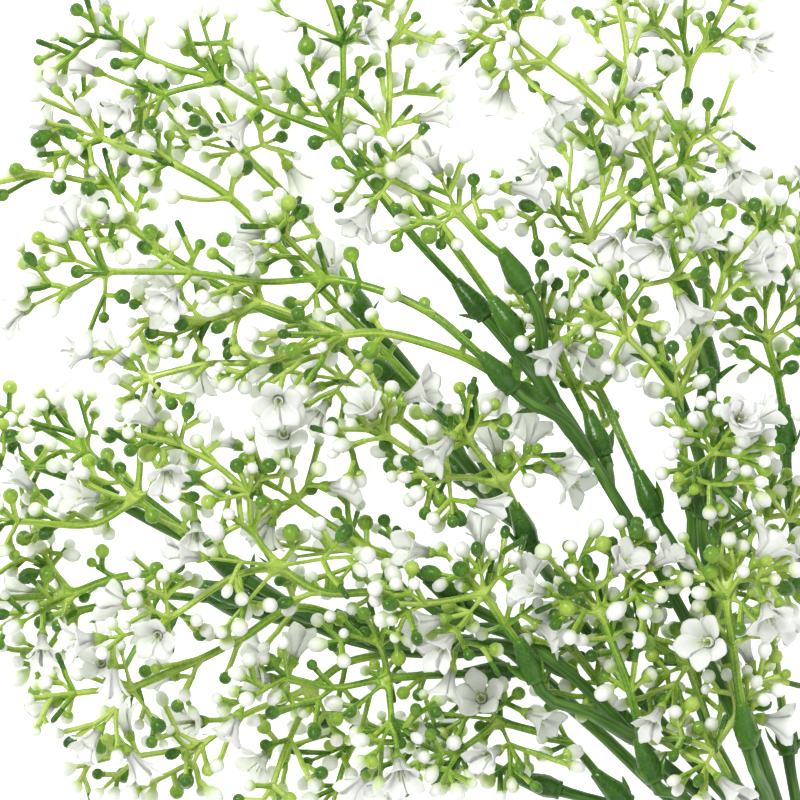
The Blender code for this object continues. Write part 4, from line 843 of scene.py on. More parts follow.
def lathe(profile, sides, lobes=None):
    # a turned closed shape; lobes changes a point's radius and height by its angle
    verts, faces, tones, rings = [], [], [], []
    for height, radius, tone in profile:
        count = sides if radius else 1
        rings.append(range(len(verts), len(verts) + count))
        for k in range(count):
            angle = math.tau * k / sides
            r, h = lobes(angle, radius, height) if lobes and radius else (radius, height)
            verts.append((r * math.cos(angle), r * math.sin(angle), h))
            tones.append(tone)
    for low, high in zip(rings, rings[1:]):
        for k in range(sides):
            n = (k + 1) % sides
            corners = low[k % len(low)], low[n % len(low)], high[n % len(high)], high[k % len(high)]
            faces.append(tuple(dict.fromkeys(corners)))
    return verts, faces, tones


def budShape(low, high, stretch=1.0):
    # a round bud on a short neck, whose tone runs from low to high; stretch makes it an oval one
    slim = 1.0 + heads["budSlim"] - heads["budSlim"] * stretch
    profile = []
    for height, radius, part in heads["bud"]:
        height = height if height < -1.0 else stretch * (height + 1.0) - 1.0
        profile.append((height, slim * radius, (1.0 - part) * low + part * high))
    return lathe(profile, heads["budSides"])


def calyxShape():
    def lobed(angle, radius, height):
        point = (0.5 + 0.5 * math.cos(heads["lobes"] * angle)) * (height > heads["lobeFrom"])
        return radius * (1.0 + heads["lobeOut"] * point), height + heads["lobeUp"] * point
    return lathe(heads["calyx"], heads["budSides"], lobed)


def bractShape():
    verts, faces, tones = lathe(heads["bract"], heads["pegSides"])
    return [(x, heads["bractFlat"] * y + heads["bractBend"] * z * z, z) for x, y, z in verts], faces, tones


def collarShape():
    def ridged(angle, radius, height):
        low, high = heads["ridgeSpan"]
        if low < height < high and radius > heads["ridgeOutside"]:
            wave = math.sin(heads["ridges"] * angle + heads["ridgeTwist"] * height)
            return radius * (1.0 + heads["ridgeDepth"] * wave), height
        low, high = heads["scallopSpan"]
        dip = heads["scallopDepth"] * abs(math.sin(heads["scallops"] * angle))
        return radius, height - dip * (low < height < high)
    return lathe(heads["collar"], heads["collarSides"], ridged)


def closedSheet(grid):
    # two skins of a sheet with a rim, from rows of points
    rows, columns = len(grid), len(grid[0])
    front, back, faces = [], [], []
    for r in range(rows):
        for c in range(columns):
            along = grid[min(r + 1, rows - 1)][c] - grid[max(r - 1, 0)][c]
            over = grid[r][min(c + 1, columns - 1)] - grid[r][max(c - 1, 0)]
            thin = petals["thinEdge"] if c in (0, columns - 1) or r == rows - 1 else 1.0
            out = 0.5 * petals["wall"] * thin * over.cross(along).normalized()
            front.append(grid[r][c] + out)
            back.append(grid[r][c] - out)
    half = rows * columns
    for r in range(rows - 1):
        for c in range(columns - 1):
            a, d = r * columns + c, (r + 1) * columns + c
            faces += [(a, a + 1, d + 1, d), (half + a, half + d, half + d + 1, half + a + 1)]
    rim = list(range(columns))
    rim += [r * columns + columns - 1 for r in range(1, rows)]
    rim += [(rows - 1) * columns + c for c in range(columns - 2, -1, -1)]
    rim += [r * columns for r in range(rows - 2, 0, -1)]
    faces += [(b, a, half + a, half + b) for a, b in zip(rim, rim[1:] + rim[:1])]
    return front + back, faces


def petal(angle, openness, draw, whorl):
    # one broad rounded petal that leaves the trumpet's waist and curls out, one edge over its neighbour's
    wave, lift = draw.uniform(0.0, math.tau), draw.uniform(*petals["lift"])
    bend, columns = petals["bend"] - petals["openBend"] * openness, petals["columns"]
    grid, tones = [], []
    for s, width in petals["outline"]:
        out = (petals["spread"] + petals["openSpread"] * openness) * s ** bend
        out = petals["foot"] + out * (petals["innerShare"] if whorl else 1.0)
        up = petals["start"] + (petals["rise"] + lift) * s - petals["droop"] * openness * s ** 3
        row = []
        for c in range(columns):
            t = 2.0 * c / (columns - 1) - 1.0
            turned = angle + min(width / max(out, petals["leastOut"]), petals["widest"]) * t
            ruffle = petals["ruffle"] * s ** 2 * math.sin(petals["waves"] * t + wave)
            far = out * (1.0 - petals["roundness"] * t * t) + petals["overlap"] * t * s + ruffle
            height = layout["flowerLength"] * up - petals["fold"] * (t * s) ** 2 + ruffle
            row.append(Vector((far * math.cos(turned), far * math.sin(turned), height)))
            tones.append(0.5 + 0.5 * s)
        grid.append(row)
    return (*closedSheet(grid), tones + tones)


def flowerShape(openness, seed, whorls=1):
    # a short tube, one or two whorls of petals, and stamens that stand in the throat
    draw = random.Random(seed)
    length = layout["flowerLength"]
    parts = [lathe([(h * length, r, t) for h, r, t in heads["tube"]], heads["tubeSides"])]
    for whorl in range(whorls):
        for k in range(heads["petals"]):
            aside = draw.uniform(-heads["petalTurn"], heads["petalTurn"])
            angle = math.tau * (k + 0.5 * whorl + aside) / heads["petals"]
            spread = openness * (1.0 - heads["innerClosed"] * whorl) + draw.uniform(*heads["petalSpread"])
            parts.append(petal(angle, spread, draw, whorl))
    stamen, walls, shades = lathe(heads["stamen"], heads["stamenSides"])
    foot = Vector((0.0, 0.0, heads["throat"] * length))
    for k in range(heads["stamens"]):
        angle = math.tau * k / heads["stamens"] + seed
        aside = Vector((math.cos(angle), math.sin(angle), 0.0))
        leans = [heads["stamenOut"] + heads["stamenLean"] * v[2] for v in stamen]
        parts.append(([Vector(v) + aside * lean + foot for v, lean in zip(stamen, leans)], walls, shades))
    verts, faces, tones = [], [], []
    for more, walls, shades in parts:
        faces += [tuple(n + len(verts) for n in face) for face in walls]
        verts += more
        tones += shades
    return verts, faces, tones


def collectShapes(name, shapes):
    # a hidden collection whose objects are picked in the order of their names, and each kind's number
    group = bpy.data.collections.new(name)
    for k, (label, shape) in enumerate(shapes.items()):
        group.objects.link(bpy.data.objects.new(f"{k:02d}_{label}", meshOf(label, *shape)))
    return group, {label: k for k, label in enumerate(shapes)}


greenShapes, greenKinds = collectShapes("greenShapes", {
    "D": budShape(0.42, 0.22), "darkOval": budShape(0.36, 0.16, 1.3), "G": budShape(0.62, 0.46),
    "L": budShape(0.66, 0.78), "cup": lathe(heads["cup"], heads["budSides"]), "calyx": calyxShape(),
    "K": lathe(heads["peg"], heads["pegSides"]), "bract": bractShape(), "collar": collarShape()})
whiteShapes, whiteKinds = collectShapes("whiteShapes", {
    "W": budShape(0.24, 0.74), "whiteOval": budShape(0.36, 0.76, 1.32), "P": budShape(-0.05, 0.56),
    "funnel": flowerShape(0.1, 3), "halfOpen": flowerShape(0.55, 5), "open": flowerShape(1.0, 8),
    "wide": flowerShape(1.4, 9), "rosette": flowerShape(0.9, 11, 2)})
# how far a shape reaches past its place and how wide it is, for the ones that could go through the table
reaches = {"K": (4.5, 0.8), "bract": (3.0, 0.7), "collar": (0.0, 0.0)}
reaches.update({kind: (11.0, 6.2) for kind in ("calyx", "funnel", "halfOpen", "open", "wide", "rosette")})
print("shapes made")


# One tree dresses any piece: its faces are a cage, its edges stalks and its loose points stand for shapes
def node(tree, kind, links=None, **settings):
    made = tree.nodes.new(kind)
    for key, value in settings.items():
        setattr(made, key, value)
    for key, value in (links or {}).items():
        if isinstance(value, bpy.types.NodeSocket):
            tree.links.new(value, made.inputs[key])
        else:
            made.inputs[key].default_value = value
    return made


def dressingTree():
    tree = bpy.data.node_groups.new("dressing", "GeometryNodeTree")
    for label, kind in (("Geometry", "Geometry"), ("Smoothing", "Int"), ("Stalk Sides", "Int"),
                        ("Shapes", "Collection"), ("Finish", "Material")):
        tree.interface.new_socket(label, in_out="INPUT", socket_type="NodeSocket" + kind)
    tree.interface.new_socket("Geometry", in_out="OUTPUT", socket_type="NodeSocketGeometry")
    given = tree.nodes.new("NodeGroupInput").outputs

    def add(kind, output, links=None, **settings):
        return node(tree, kind, links, **settings).outputs[output]

    def named(name, kind="FLOAT"):
        return add("GeometryNodeInputNamedAttribute", "Attribute", {"Name": name}, data_type=kind)

    def share(number):
        # what has this number for its role
        same = add("FunctionNodeCompare", 0, {2: named("role", "INT"), 3: number}, data_type="INT",
                   operation="EQUAL")
        links = {"Geometry": given["Geometry"], "Selection": same}
        return add("GeometryNodeSeparateGeometry", "Selection", links, domain="POINT")

    def store(geometry, name, value, kind):
        links = {"Geometry": geometry, "Name": name, "Value": value}
        return add("GeometryNodeStoreNamedAttribute", "Geometry", links, data_type=kind, domain="POINT")

    cage = add("GeometryNodeSubdivisionSurface", "Mesh", {"Mesh": share(0), "Level": given["Smoothing"]})

    line = add("GeometryNodeMeshToCurve", "Curve", {"Mesh": share(1)})
    line = add("GeometryNodeRemoveAttribute", "Geometry", {"Geometry": line, "Name": "around"})
    line = store(line, "along", add("GeometryNodeSplineParameter", "Length"), "FLOAT")
    rim = add("GeometryNodeCurvePrimitiveCircle", "Curve", {
        "Resolution": given["Stalk Sides"], "Radius": 1.0})
    rim = store(rim, "around", add("GeometryNodeInputPosition", "Position"), "FLOAT_VECTOR")
    tubes = add("GeometryNodeCurveToMesh", "Mesh", {
        "Curve": line, "Profile Curve": rim, "Scale": named("thick"), "Fill Caps": True})

    shapes = add("GeometryNodeCollectionInfo", "Instances", {
        "Collection": given["Shapes"], "Separate Children": True, "Reset Children": True})
    aimed = add("FunctionNodeAlignRotationToVector", "Rotation", {"Vector": named("axis", "FLOAT_VECTOR")},
                axis="Z")
    spin = add("ShaderNodeCombineXYZ", "Vector", {"Z": named("turn")})
    turned = add("FunctionNodeEulerToRotation", "Rotation", {"Euler": spin})
    facing = add("FunctionNodeRotateRotation", "Rotation", {"Rotation": aimed, "Rotate By": turned},
                 rotation_space="LOCAL")
    placed = add("GeometryNodeInstanceOnPoints", "Instances", {
        "Points": share(2), "Instance": shapes, "Pick Instance": True, "Instance Index": named("kind", "INT"),
        "Rotation": facing, "Scale": named("size")})

    whole = node(tree, "GeometryNodeJoinGeometry")
    for part in (cage, tubes, placed):
        tree.links.new(part, whole.inputs["Geometry"])
    real = add("GeometryNodeRealizeInstances", "Geometry", {"Geometry": whole.outputs["Geometry"]})
    smooth = add("GeometryNodeSetShadeSmooth", "Geometry", {"Geometry": real, "Shade Smooth": True})
    done = add("GeometryNodeSetMaterial", "Geometry", {"Geometry": smooth, "Material": given["Finish"]})
    node(tree, "NodeGroupOutput", {"Geometry": done})
    return tree


dressing = dressingTree()
recipeFields = {
    "role": "INT", "kind": "INT", "thick": "FLOAT", "size": "FLOAT", "turn": "FLOAT", "tone": "FLOAT",
    "shade": "FLOAT", "axis": "FLOAT_VECTOR", "along": "FLOAT", "around": "FLOAT_VECTOR",
}
spentFields = ("role", "kind", "thick", "size", "turn", "axis")  # of no use once a piece is dressed


class Recipe:
    # points, edges and faces of one piece before the tree dresses it, in millimetres
    def __init__(self):
        self.points, self.edges, self.faces = [], [], []
        self.fields = {name: [] for name in recipeFields}

    def point(self, spot, **fields):
        self.points.append(Vector(spot))
        for name, kind in recipeFields.items():
            self.fields[name].append(fields.get(name, (0.0, 0.0, 1.0) if kind == "FLOAT_VECTOR" else 0))
        return len(self.points) - 1

    def ring(self, centre, axis, side, radius, tone, shade=0.0, along=0.0):
        made, other = [], axis.cross(side)
        for k in range(skeleton["sides"]):
            x, y = math.cos(math.tau * k / skeleton["sides"]), math.sin(math.tau * k / skeleton["sides"])
            fields = {"tone": tone, "shade": shade, "along": along * mm, "around": (x, y, 0.0)}
            made.append(self.point(centre + radius * (x * side + y * other), role=0, **fields))
        return made

    def band(self, low, high):
        for k in range(len(low)):
            n = (k + 1) % len(low)
            self.faces.append((low[k], low[n], high[n], high[k]))

    def wire(self, way, widths, tones, shade=0.0):
        made = []
        for spot, width, tone in zip(way, widths, tones):
            made.append(self.point(spot, role=1, thick=width * mm, tone=tone, shade=shade))
        self.edges += list(zip(made, made[1:]))

    def shape(self, spot, axis, kind, size, turn, shade):
        self.point(spot, role=2, axis=tuple(axis), kind=kind, size=size, turn=turn, shade=shade)

    def dress(self, name, shapes, finish, stalkSides):
        mesh = bpy.data.meshes.new(name + "_plan")
        mesh.from_pydata([p * mm for p in self.points], self.edges, self.faces)
        for field, kind in recipeFields.items():
            slot = "vector" if kind == "FLOAT_VECTOR" else "value"
            values = np.array(self.fields[field]).ravel()
            mesh.attributes.new(field, kind, "POINT").data.foreach_set(slot, values)
        plan = addObject(name + "_plan", mesh)
        added = plan.modifiers.new("dressing", "NODES")
        added.node_group = dressing
        values = {"Smoothing": heads["smoothing"], "Stalk Sides": stalkSides, "Shapes": shapes,
                  "Finish": finish}
        for item in dressing.interface.items_tree:
            if item.item_type == "SOCKET" and item.in_out == "INPUT" and item.name in values:
                added[item.identifier] = values[item.name]
        graph = bpy.context.evaluated_depsgraph_get()
        result = bpy.data.meshes.new_from_object(plan.evaluated_get(graph), depsgraph=graph)
        bpy.data.objects.remove(plan, do_unlink=True)
        bpy.data.meshes.remove(mesh)
        for field in spentFields:
            if field in result.attributes:
                result.attributes.remove(result.attributes[field])
        result.name = name
        return addObject(name, result)


def smoothWay(points, startAxis, endAxis, step, bow, draw):
    # points along a soft curve through the given ones, with the way's direction at each
    lengths = [(b - a).length for a, b in zip(points, points[1:])]
    tangents = [startAxis]
    for k in range(1, len(points) - 1):
        before = (points[k] - points[k - 1]) / max(lengths[k - 1], 0.01)
        after = (points[k + 1] - points[k]) / max(lengths[k], 0.01)
        tangents.append((before + after).normalized())
    tangents.append(endAxis)
    spots = [points[0]]
    for k, length in enumerate(lengths):
        count = max(1, round(length / step))
        aside = across(tangents[k]) * draw.uniform(-1.0, 1.0)
        aside += Vector((0.0, 0.0, draw.uniform(-skeleton["bowRise"], skeleton["bowRise"])))
        a, b, m0, m1 = points[k], points[k + 1], tangents[k] * length, tangents[k + 1] * length
        for n in range(1, count + 1):
            t = n / count
            spot = (2 * t**3 - 3 * t**2 + 1) * a + (t**3 - 2 * t**2 + t) * m0
            spot += (3 * t**2 - 2 * t**3) * b + (t**3 - t**2) * m1
            spots.append(spot + bow * length * math.sin(math.pi * t) ** 2 * aside)
    axes = [startAxis]
    for before, here, after in zip(spots, spots[1:], spots[2:]):
        axes.append(((here - before).normalized() + (after - here).normalized()).normalized())
    return spots, axes + [endAxis]


# Materials: a piece's tone picks the colour, and patterns are added to the tone and to the relief
# the streaks paint pale highlight lines and darker edge shade along the twigs, besides their streaky colour
streakStretch = 30.0  # the streaks' pattern per metre along a twig


def shader(name, settings):
    finish = bpy.data.materials.new(name)
    finish.use_nodes = True
    surface = finish.node_tree.nodes["Principled BSDF"]
    for key, value in settings.items():
        surface.inputs[key].default_value = value
    return finish, finish.node_tree, surface


def attribute(tree, name, output="Fac"):
    return node(tree, "ShaderNodeAttribute", attribute_name=name, attribute_type="GEOMETRY").outputs[output]


def calc(tree, operation, a, b):
    return node(tree, "ShaderNodeMath", {0: a, 1: b}, operation=operation).outputs[0]


def total(tree, first, *others):
    for other in others:
        first = calc(tree, "ADD", first, other)
    return first


def objectPlace(tree):
    return node(tree, "ShaderNodeTexCoord").outputs["Object"]


def noise(tree, where, scale, detail):
    links = {"Vector": where, "Scale": scale, "Detail": detail}
    return node(tree, "ShaderNodeTexNoise", links).outputs["Fac"]


def streakAndHighlightPlace(tree):
    # coordinates that make streaks along a twig or stem: pale and dark lines that are partly the plastic's
    # streaky colour and partly painted highlight and painted edge shade
    parts = node(tree, "ShaderNodeSeparateXYZ", {"Vector": attribute(tree, "around", "Vector")}).outputs
    length = calc(tree, "MULTIPLY", attribute(tree, "along"), streakStretch)
    links = {"X": parts["X"], "Y": parts["Y"], "Z": length}
    return node(tree, "ShaderNodeCombineXYZ", links).outputs["Vector"]


def ramp(tree, factor, stops):
    made = node(tree, "ShaderNodeValToRGB", {"Fac": factor})
    elements = made.color_ramp.elements
    while len(elements) < len(stops):
        elements.new(0.5)
    for element, (position, colour) in zip(elements, stops):
        element.position, element.color = position, colour
    return made.outputs["Color"]


def blot(tree, colour, values):
    # a round stain with a ragged edge at one place of the piece
    spot = place(*values["place"]) * mm
    links = {0: objectPlace(tree), 1: spot}
    away = node(tree, "ShaderNodeVectorMath", links, operation="DISTANCE").outputs["Value"]
    ragged = calc(tree, "MULTIPLY", noise(tree, objectPlace(tree), values["scale"], 2.0), values["ragged"])
    links = {"Value": total(tree, away, ragged), "From Min": values["outer"] * mm,
             "From Max": values["inner"] * mm}
    near = node(tree, "ShaderNodeMapRange", links).outputs["Result"]
    return node(tree, "ShaderNodeMix", {0: near, 6: colour, 7: values["colour"]}, data_type="RGBA").outputs[2]


def patterned(name, values):
    # pattern rows: where it runs, its scale and detail, its share in the tone and in the relief; the last one
    # makes the gloss uneven too
    finish, tree, surface = shader(name, values["surface"])
    tones, reliefs = [attribute(tree, "tone"), attribute(tree, "shade")], []
    for where, scale, detail, toneShare, reliefShare in values["patterns"]:
        made = noise(tree, streakAndHighlightPlace(tree) if where == "streaks" else objectPlace(tree), scale, detail)
        if toneShare:
            tones.append(calc(tree, "MULTIPLY", calc(tree, "SUBTRACT", made, 0.5), toneShare))
        if reliefShare:
            reliefs.append(calc(tree, "MULTIPLY", made, reliefShare))
    colour = ramp(tree, total(tree, *tones), values["colours"])
    if "blot" in values:
        colour = blot(tree, colour, values["blot"])
    share, least = values["gloss"]
    strength, distance = values["bump"]
    gloss = total(tree, calc(tree, "MULTIPLY", made, share), least)
    links = {"Height": total(tree, *reliefs), "Strength": strength, "Distance": distance}
    bump = node(tree, "ShaderNodeBump", links).outputs["Normal"]
    for key, value in (("Base Color", colour), ("Roughness", gloss), ("Normal", bump)):
        tree.links.new(value, surface.inputs[key])
    return finish


greenFinish = patterned("sprigGreen", {
    "colours": ((0.0, rgb(46, 86, 26)), (0.22, rgb(70, 116, 32)), (0.45, rgb(106, 150, 44)),
                (0.7, rgb(154, 186, 64)), (0.95, rgb(192, 212, 108))),
    # the streaks here are partly the twigs' streaky colour and partly painted highlight and painted edge
    # shade
    "patterns": (("mottle", 160.0, 2.0, 0.34, 0.0), ("streaks", 1.7, 1.5, 1.3, 1.6),
                 ("grit", 1200.0, 1.0, 0.2, 1.0)),
    "gloss": (0.2, 0.18), "bump": (0.45, 0.0003), "surface": {"Specular IOR Level": 0.38},
})
darkFinish = patterned("stemDark", {
    "colours": ((0.1, rgb(44, 78, 26)), (0.45, rgb(70, 114, 36)), (0.85, rgb(112, 154, 56))),
    # the streaks here are partly the stem's streaky colour and partly painted highlight and painted edge
    # shade
    "patterns": (("mottle", 90.0, 2.0, 0.5, 0.0), ("streaks", 2.6, 2.0, 1.3, 1.0)),
    "gloss": (0.25, 0.28), "bump": (0.6, 0.0005), "surface": {"Specular IOR Level": 0.38},
    "blot": {"colour": rgb(104, 70, 36), "place": (136.0, 102.0, 57.0), "outer": 4.76, "inner": 3.06,
             "scale": 500.0, "ragged": 0.002},
})
whiteFinish = patterned("petalWhite", {
    "colours": ((0.08, rgb(170, 196, 100)), (0.32, rgb(214, 226, 184)), (0.6, rgb(232, 235, 227)),
                (0.85, rgb(249, 249, 247))),
    "patterns": (("mottle", 300.0, 2.0, 0.3, 0.0), ("grit", 900.0, 1.0, 0.0, 1.0)),
    "gloss": (0.2, 0.36), "bump": (0.35, 0.0003),
    "surface": {"Subsurface Weight": 0.62, "Subsurface Radius": (1.0, 1.0, 1.0), "Subsurface Scale": 0.003,
                "Sheen Weight": 0.15},
})
print("finishes ready")


# Sprigs: a webbed skeleton with smooth knots, then stalks, buds, cups and the collar
skeleton = {
    "sides": 6, "stalkSides": 7, "roundUp": (1.05, 1.05, 1.14, 1.24, 1.3), "step": 3.6, "bow": 0.045,
    "bowRise": 0.7, "bentShare": 0.3, "stemTaper": 0.9, "taper": 0.92, "sink": 1.2, "skipPoint": 0.8,
    "webMargin": 0.06, "webTries": 80, "webChange": 0.001, "webGrowth": 1.05, "ownRoom": 0.6,
    "childRoom": 0.8, "childSlack": 1.4, "leastOffset": 0.3,
    "toneByLevel": ((0.34, 0.62), (0.64, 0.74), (0.70, 0.78), (0.72, 0.80), (0.74, 0.82)),
    "knotTone": 0.80, "toneSpread": 0.14, "greenShade": 0.07, "whiteShade": 0.2, "flowerShade": 0.05,
    "cupShare": 0.25, "bractShare": 0.5, "bracts": 2, "bractSize": (1.5, 2.7), "bractShades": (-0.1, 0.3),
    "bractBack": 0.5, "bractLean": 0.9, "bractLeans": ((-1.0, 1.0), (-1.0, 1.0), (-0.4, 1.0)),
    "collarBractAt": (1.2, 2.0), "collarBractAside": 0.6, "collarBractLean": (0.4, 1.0),
    "collarBractShade": 0.1,
    "budShrink": (0.68, 1.04), "budSunk": 0.9, "flowerSunk": 0.2, "flowerSize": (0.92, 1.18), "faceUp": 1.1,
    "rosetteAt": (184.0, 103.0), "rosetteReach": 3.0, "ovalShare": 0.3,
    "whiteKinds": ("W", "W", "W", "whiteOval", "whiteOval", "P"),
    "flowerKinds": ("funnel", "funnel", "halfOpen", "halfOpen", "halfOpen", "open", "open", "wide"),
    "stalkStep": 2.2, "stalkBow": 1.3, "stalkWidth": (1.15, 1.45), "stalkFoot": 0.9, "stalkEnd": 1.12,
    "flareShare": 3.0, "flareTone": 0.1, "stalkShades": (-0.3, -0.1, 0.0, 0.04, 0.08),
    "tableGap": 0.2, "wireGap": 0.05, "tilt": 0.12, "tilts": 16, "longShape": 3.0, "budNeck": 1.5, "sag": 0.6,
}


def hubOffsets(directions, radii):
    # how far from a knot each tube starts, so that its end lies outside all the others' ends
    offsets = [0.5 * r for r in radii]
    for _ in range(skeleton["webTries"]):
        grown = 0.0
        for i, direction in enumerate(directions):
            for j, other in enumerate(directions):
                if i == j:
                    continue
                angle = direction.angle(other)
                wanted = offsets[j] * math.cos(angle) + radii[j] * math.sin(angle) + skeleton["webMargin"]
                if wanted > offsets[i]:
                    grown = max(grown, wanted - offsets[i])
                    offsets[i] = wanted
        if grown < skeleton["webChange"]:
            break
    return offsets


def joinHub(plan, rings):
    # closes the space between the tubes' end rings with the faces of their hull that join two rings
    owner = {n: k for k, ring in enumerate(rings) for n in ring}
    work = bmesh.new()
    numbers = {work.verts.new(plan.points[n]): n for n in owner}
    bmesh.ops.convex_hull(work, input=list(numbers))
    centre = sum((plan.points[n] for n in owner), Vector()) / len(owner)
    for face in work.faces:
        corners = [numbers[v] for v in face.verts]
        a, b, c = (plan.points[n] for n in corners[:3])
        if (b - a).cross(c - a).dot(a - centre) < 0.0:
            corners.reverse()
        if len({owner[n] for n in corners}) > 1:
            plan.faces.append(tuple(corners))
    work.free()


def budRadius(twig):
    return endCapsules(twig.path, twig.end, random.Random(twig.seed))[0][2]


def roundWidth(twig):
    return byLevel(skeleton["roundUp"], twig.level) * twigRadius(twig.level, twig.end)


def endWay(twig):
    # where a twig's own tube ends: inside its bud or flower, or at its knot
    axis = (twig.path[-1] - twig.path[-2]).normalized()
    if twig.end in buds:
        return twig.path[-1] - skeleton["budSunk"] * budRadius(twig) * axis, axis
    if twig.end == "F":
        return twig.foot - skeleton["flowerSunk"] * axis, axis
    return twig.path[-1], axis


def swing(draw, most):
    return draw.uniform(-most, most)


def drawBract(draw):
    return greenKinds["bract"], draw.uniform(*skeleton["bractSize"]), draw.uniform(0.0, math.tau)


def dressEnd(twig, axis, plan, blooms, draw):
    # the bud, peg or flower at a twig's end
    turn, shade = draw.uniform(0.0, math.tau), swing(draw, skeleton["greenShade"])
    tip = twig.path[-1]
    size = budRadius(twig) * draw.uniform(*skeleton["budShrink"]) if twig.end in buds else 1.0
    if twig.end in ("D", "G", "L"):
        kind = "darkOval" if twig.end == "D" and draw.random() < skeleton["ovalShare"] else twig.end
        plan.shape(tip, axis, greenKinds[kind], size, turn, shade)
    elif twig.end in ("W", "P"):
        kind = draw.choice(skeleton["whiteKinds"])
        blooms.shape(tip, axis, whiteKinds[kind], size, turn, swing(draw, skeleton["whiteShade"]))
        if draw.random() < skeleton["cupShare"]:
            plan.shape(tip, axis, greenKinds["cup"], size, turn, shade)
    elif twig.end == "K":
        plan.shape(tip, axis, greenKinds["K"], 1.0, turn, 0.0)
    elif twig.end == "F":
        kind = draw.choice(skeleton["flowerKinds"])
        if math.dist(flatOf(tip), skeleton["rosetteAt"]) < skeleton["rosetteReach"]:
            kind = "rosette"
        if kind in ("wide", "rosette"):
            axis = (axis + Vector((0.0, 0.0, skeleton["faceUp"]))).normalized()
        size = draw.uniform(*skeleton["flowerSize"])
        blooms.shape(twig.foot, axis, whiteKinds[kind], size, turn, swing(draw, skeleton["flowerShade"]))
        plan.shape(twig.foot, axis, greenKinds["calyx"], size, turn, shade)


def dressExtras(plan, blooms, twig, shade, draw):
    # bare stalks are wires that flare at the knot and at the bud
    for ray in twig.extras:
        last, axis = endWay(ray)
        startAxis = (ray.path[1] - ray.path[0]).normalized()
        bow = skeleton["stalkBow"] * skeleton["bow"]
        spots, _ = smoothWay(ray.path[:-1] + [last], startAxis, axis, skeleton["stalkStep"], bow, draw)
        foot = skeleton["stalkFoot"] * twigRadius(twig.level, twig.end)
        thin = layout["stalkRadius"] * draw.uniform(*skeleton["stalkWidth"])
        flares = [skeleton["flareShare"] * k / (len(spots) - 1) for k in range(len(spots))]
        widths = [max(foot * (1.0 - flare), thin) for flare in flares[:-1]] + [skeleton["stalkEnd"] * thin]
        tones = [skeleton["knotTone"] - skeleton["flareTone"] * min(flare, 1.0) for flare in flares]
        plan.wire(spots, widths, tones, shade + draw.choice(skeleton["stalkShades"]))
        dressEnd(ray, axis, plan, blooms, draw)
        dressExtras(plan, blooms, ray, shade, draw)


def knotOffsets(twig, axis, headings, width):
    # how far from its knot a twig's tube ends, then how far from it each child's tube starts
    radii = [width] + [roundWidth(child) for child in twig.children]
    room = [skeleton["ownRoom"] * (twig.path[-1] - twig.path[-2]).length]
    room += [skeleton["childRoom"] * child.firstLeg - skeleton["childSlack"] for child in twig.children]
    wanted = [skeleton["webGrowth"] * offset for offset in hubOffsets([-axis] + headings, radii)]
    return [max(min(pair), skeleton["leastOffset"]) for pair in zip(wanted, room)]


def growTwig(plan, blooms, twig, root, widths, shade):
    # a twig's tube from its root ring on, what it carries, and the twigs that grow from its end
    draw = random.Random(twig.seed)
    ring, start, side, along = root
    firstTone, lastTone = byLevel(skeleton["toneByLevel"], twig.level)
    last, axis = endWay(twig)
    headings = [(child.path[1] - child.path[0]).normalized() for child in twig.children]
    offset, *offsets = knotOffsets(twig, axis, headings, widths[1]) if headings else [0.0]
    away = (start - twig.path[0]).length + skeleton["skipPoint"]
    way = [start] + [p for p in twig.path[1:-1] if (p - twig.path[0]).length > away] + [last - offset * axis]
    startAxis = (twig.path[1] - twig.path[0]).normalized()
    bow = skeleton["bow"] * (1.0 if len(twig.path) == 2 else skeleton["bentShare"])
    spots, axes = smoothWay(way, startAxis, axis, skeleton["step"], bow, draw)
    for k in range(1, len(spots)):
        part = k / (len(spots) - 1)
        side = (side - side.dot(axes[k]) * axes[k]).normalized()
        tone = firstTone + (lastTone - firstTone) * part
        if headings and k == len(spots) - 1:
            tone = 0.5 * (tone + skeleton["knotTone"])
        along += (spots[k] - spots[k - 1]).length
        width = widths[0] + (widths[1] - widths[0]) * part
        following = plan.ring(spots[k], axes[k], side, width, tone, shade, along)
        plan.band(ring, following)
        ring = following
    dressEnd(twig, axis, plan, blooms, draw)
    dressExtras(plan, blooms, twig, shade, draw)
    if not headings:
        plan.faces.append(tuple(ring))
        return
    for _ in range(skeleton["bracts"]):
        if draw.random() < skeleton["bractShare"]:
            lean = Vector([draw.uniform(*span) for span in skeleton["bractLeans"]])
            tilted = (axis + skeleton["bractLean"] * lean).normalized()
            spot = last - (offset + skeleton["bractBack"]) * axis
            plan.shape(spot, tilted, *drawBract(draw), draw.uniform(*skeleton["bractShades"]))
    roots = []
    for child, heading, away in zip(twig.children, headings, offsets):
        turned, further = across(heading), along + offset + away
        spot = twig.path[-1] + away * heading
        started = plan.ring(spot, heading, turned, roundWidth(child), skeleton["knotTone"], shade, further)
        roots.append((started, spot, turned, further))
    joinHub(plan, [ring] + [root[0] for root in roots])
    for child, root in zip(twig.children, roots):
        width = roundWidth(child)
        growTwig(plan, blooms, child, root, (width, skeleton["taper"] * width), shade)


def layDown(plan, blooms, rim):
    # a low sprig sags until its lowest bud rests on the table, while its collar stays
    length = layout["collarLength"]
    spots = plan.points + blooms
    lowest = min(spots, key=lambda p: p.z)
    whole = (lowest - rim).length - length
    drop = lowest.z - skeleton["sag"] * layout["budRadius"]
    for spot in spots:
        way = ((spot - rim).length - length) / whole
        spot.z -= drop * min(max(way, 0.0), 1.0)


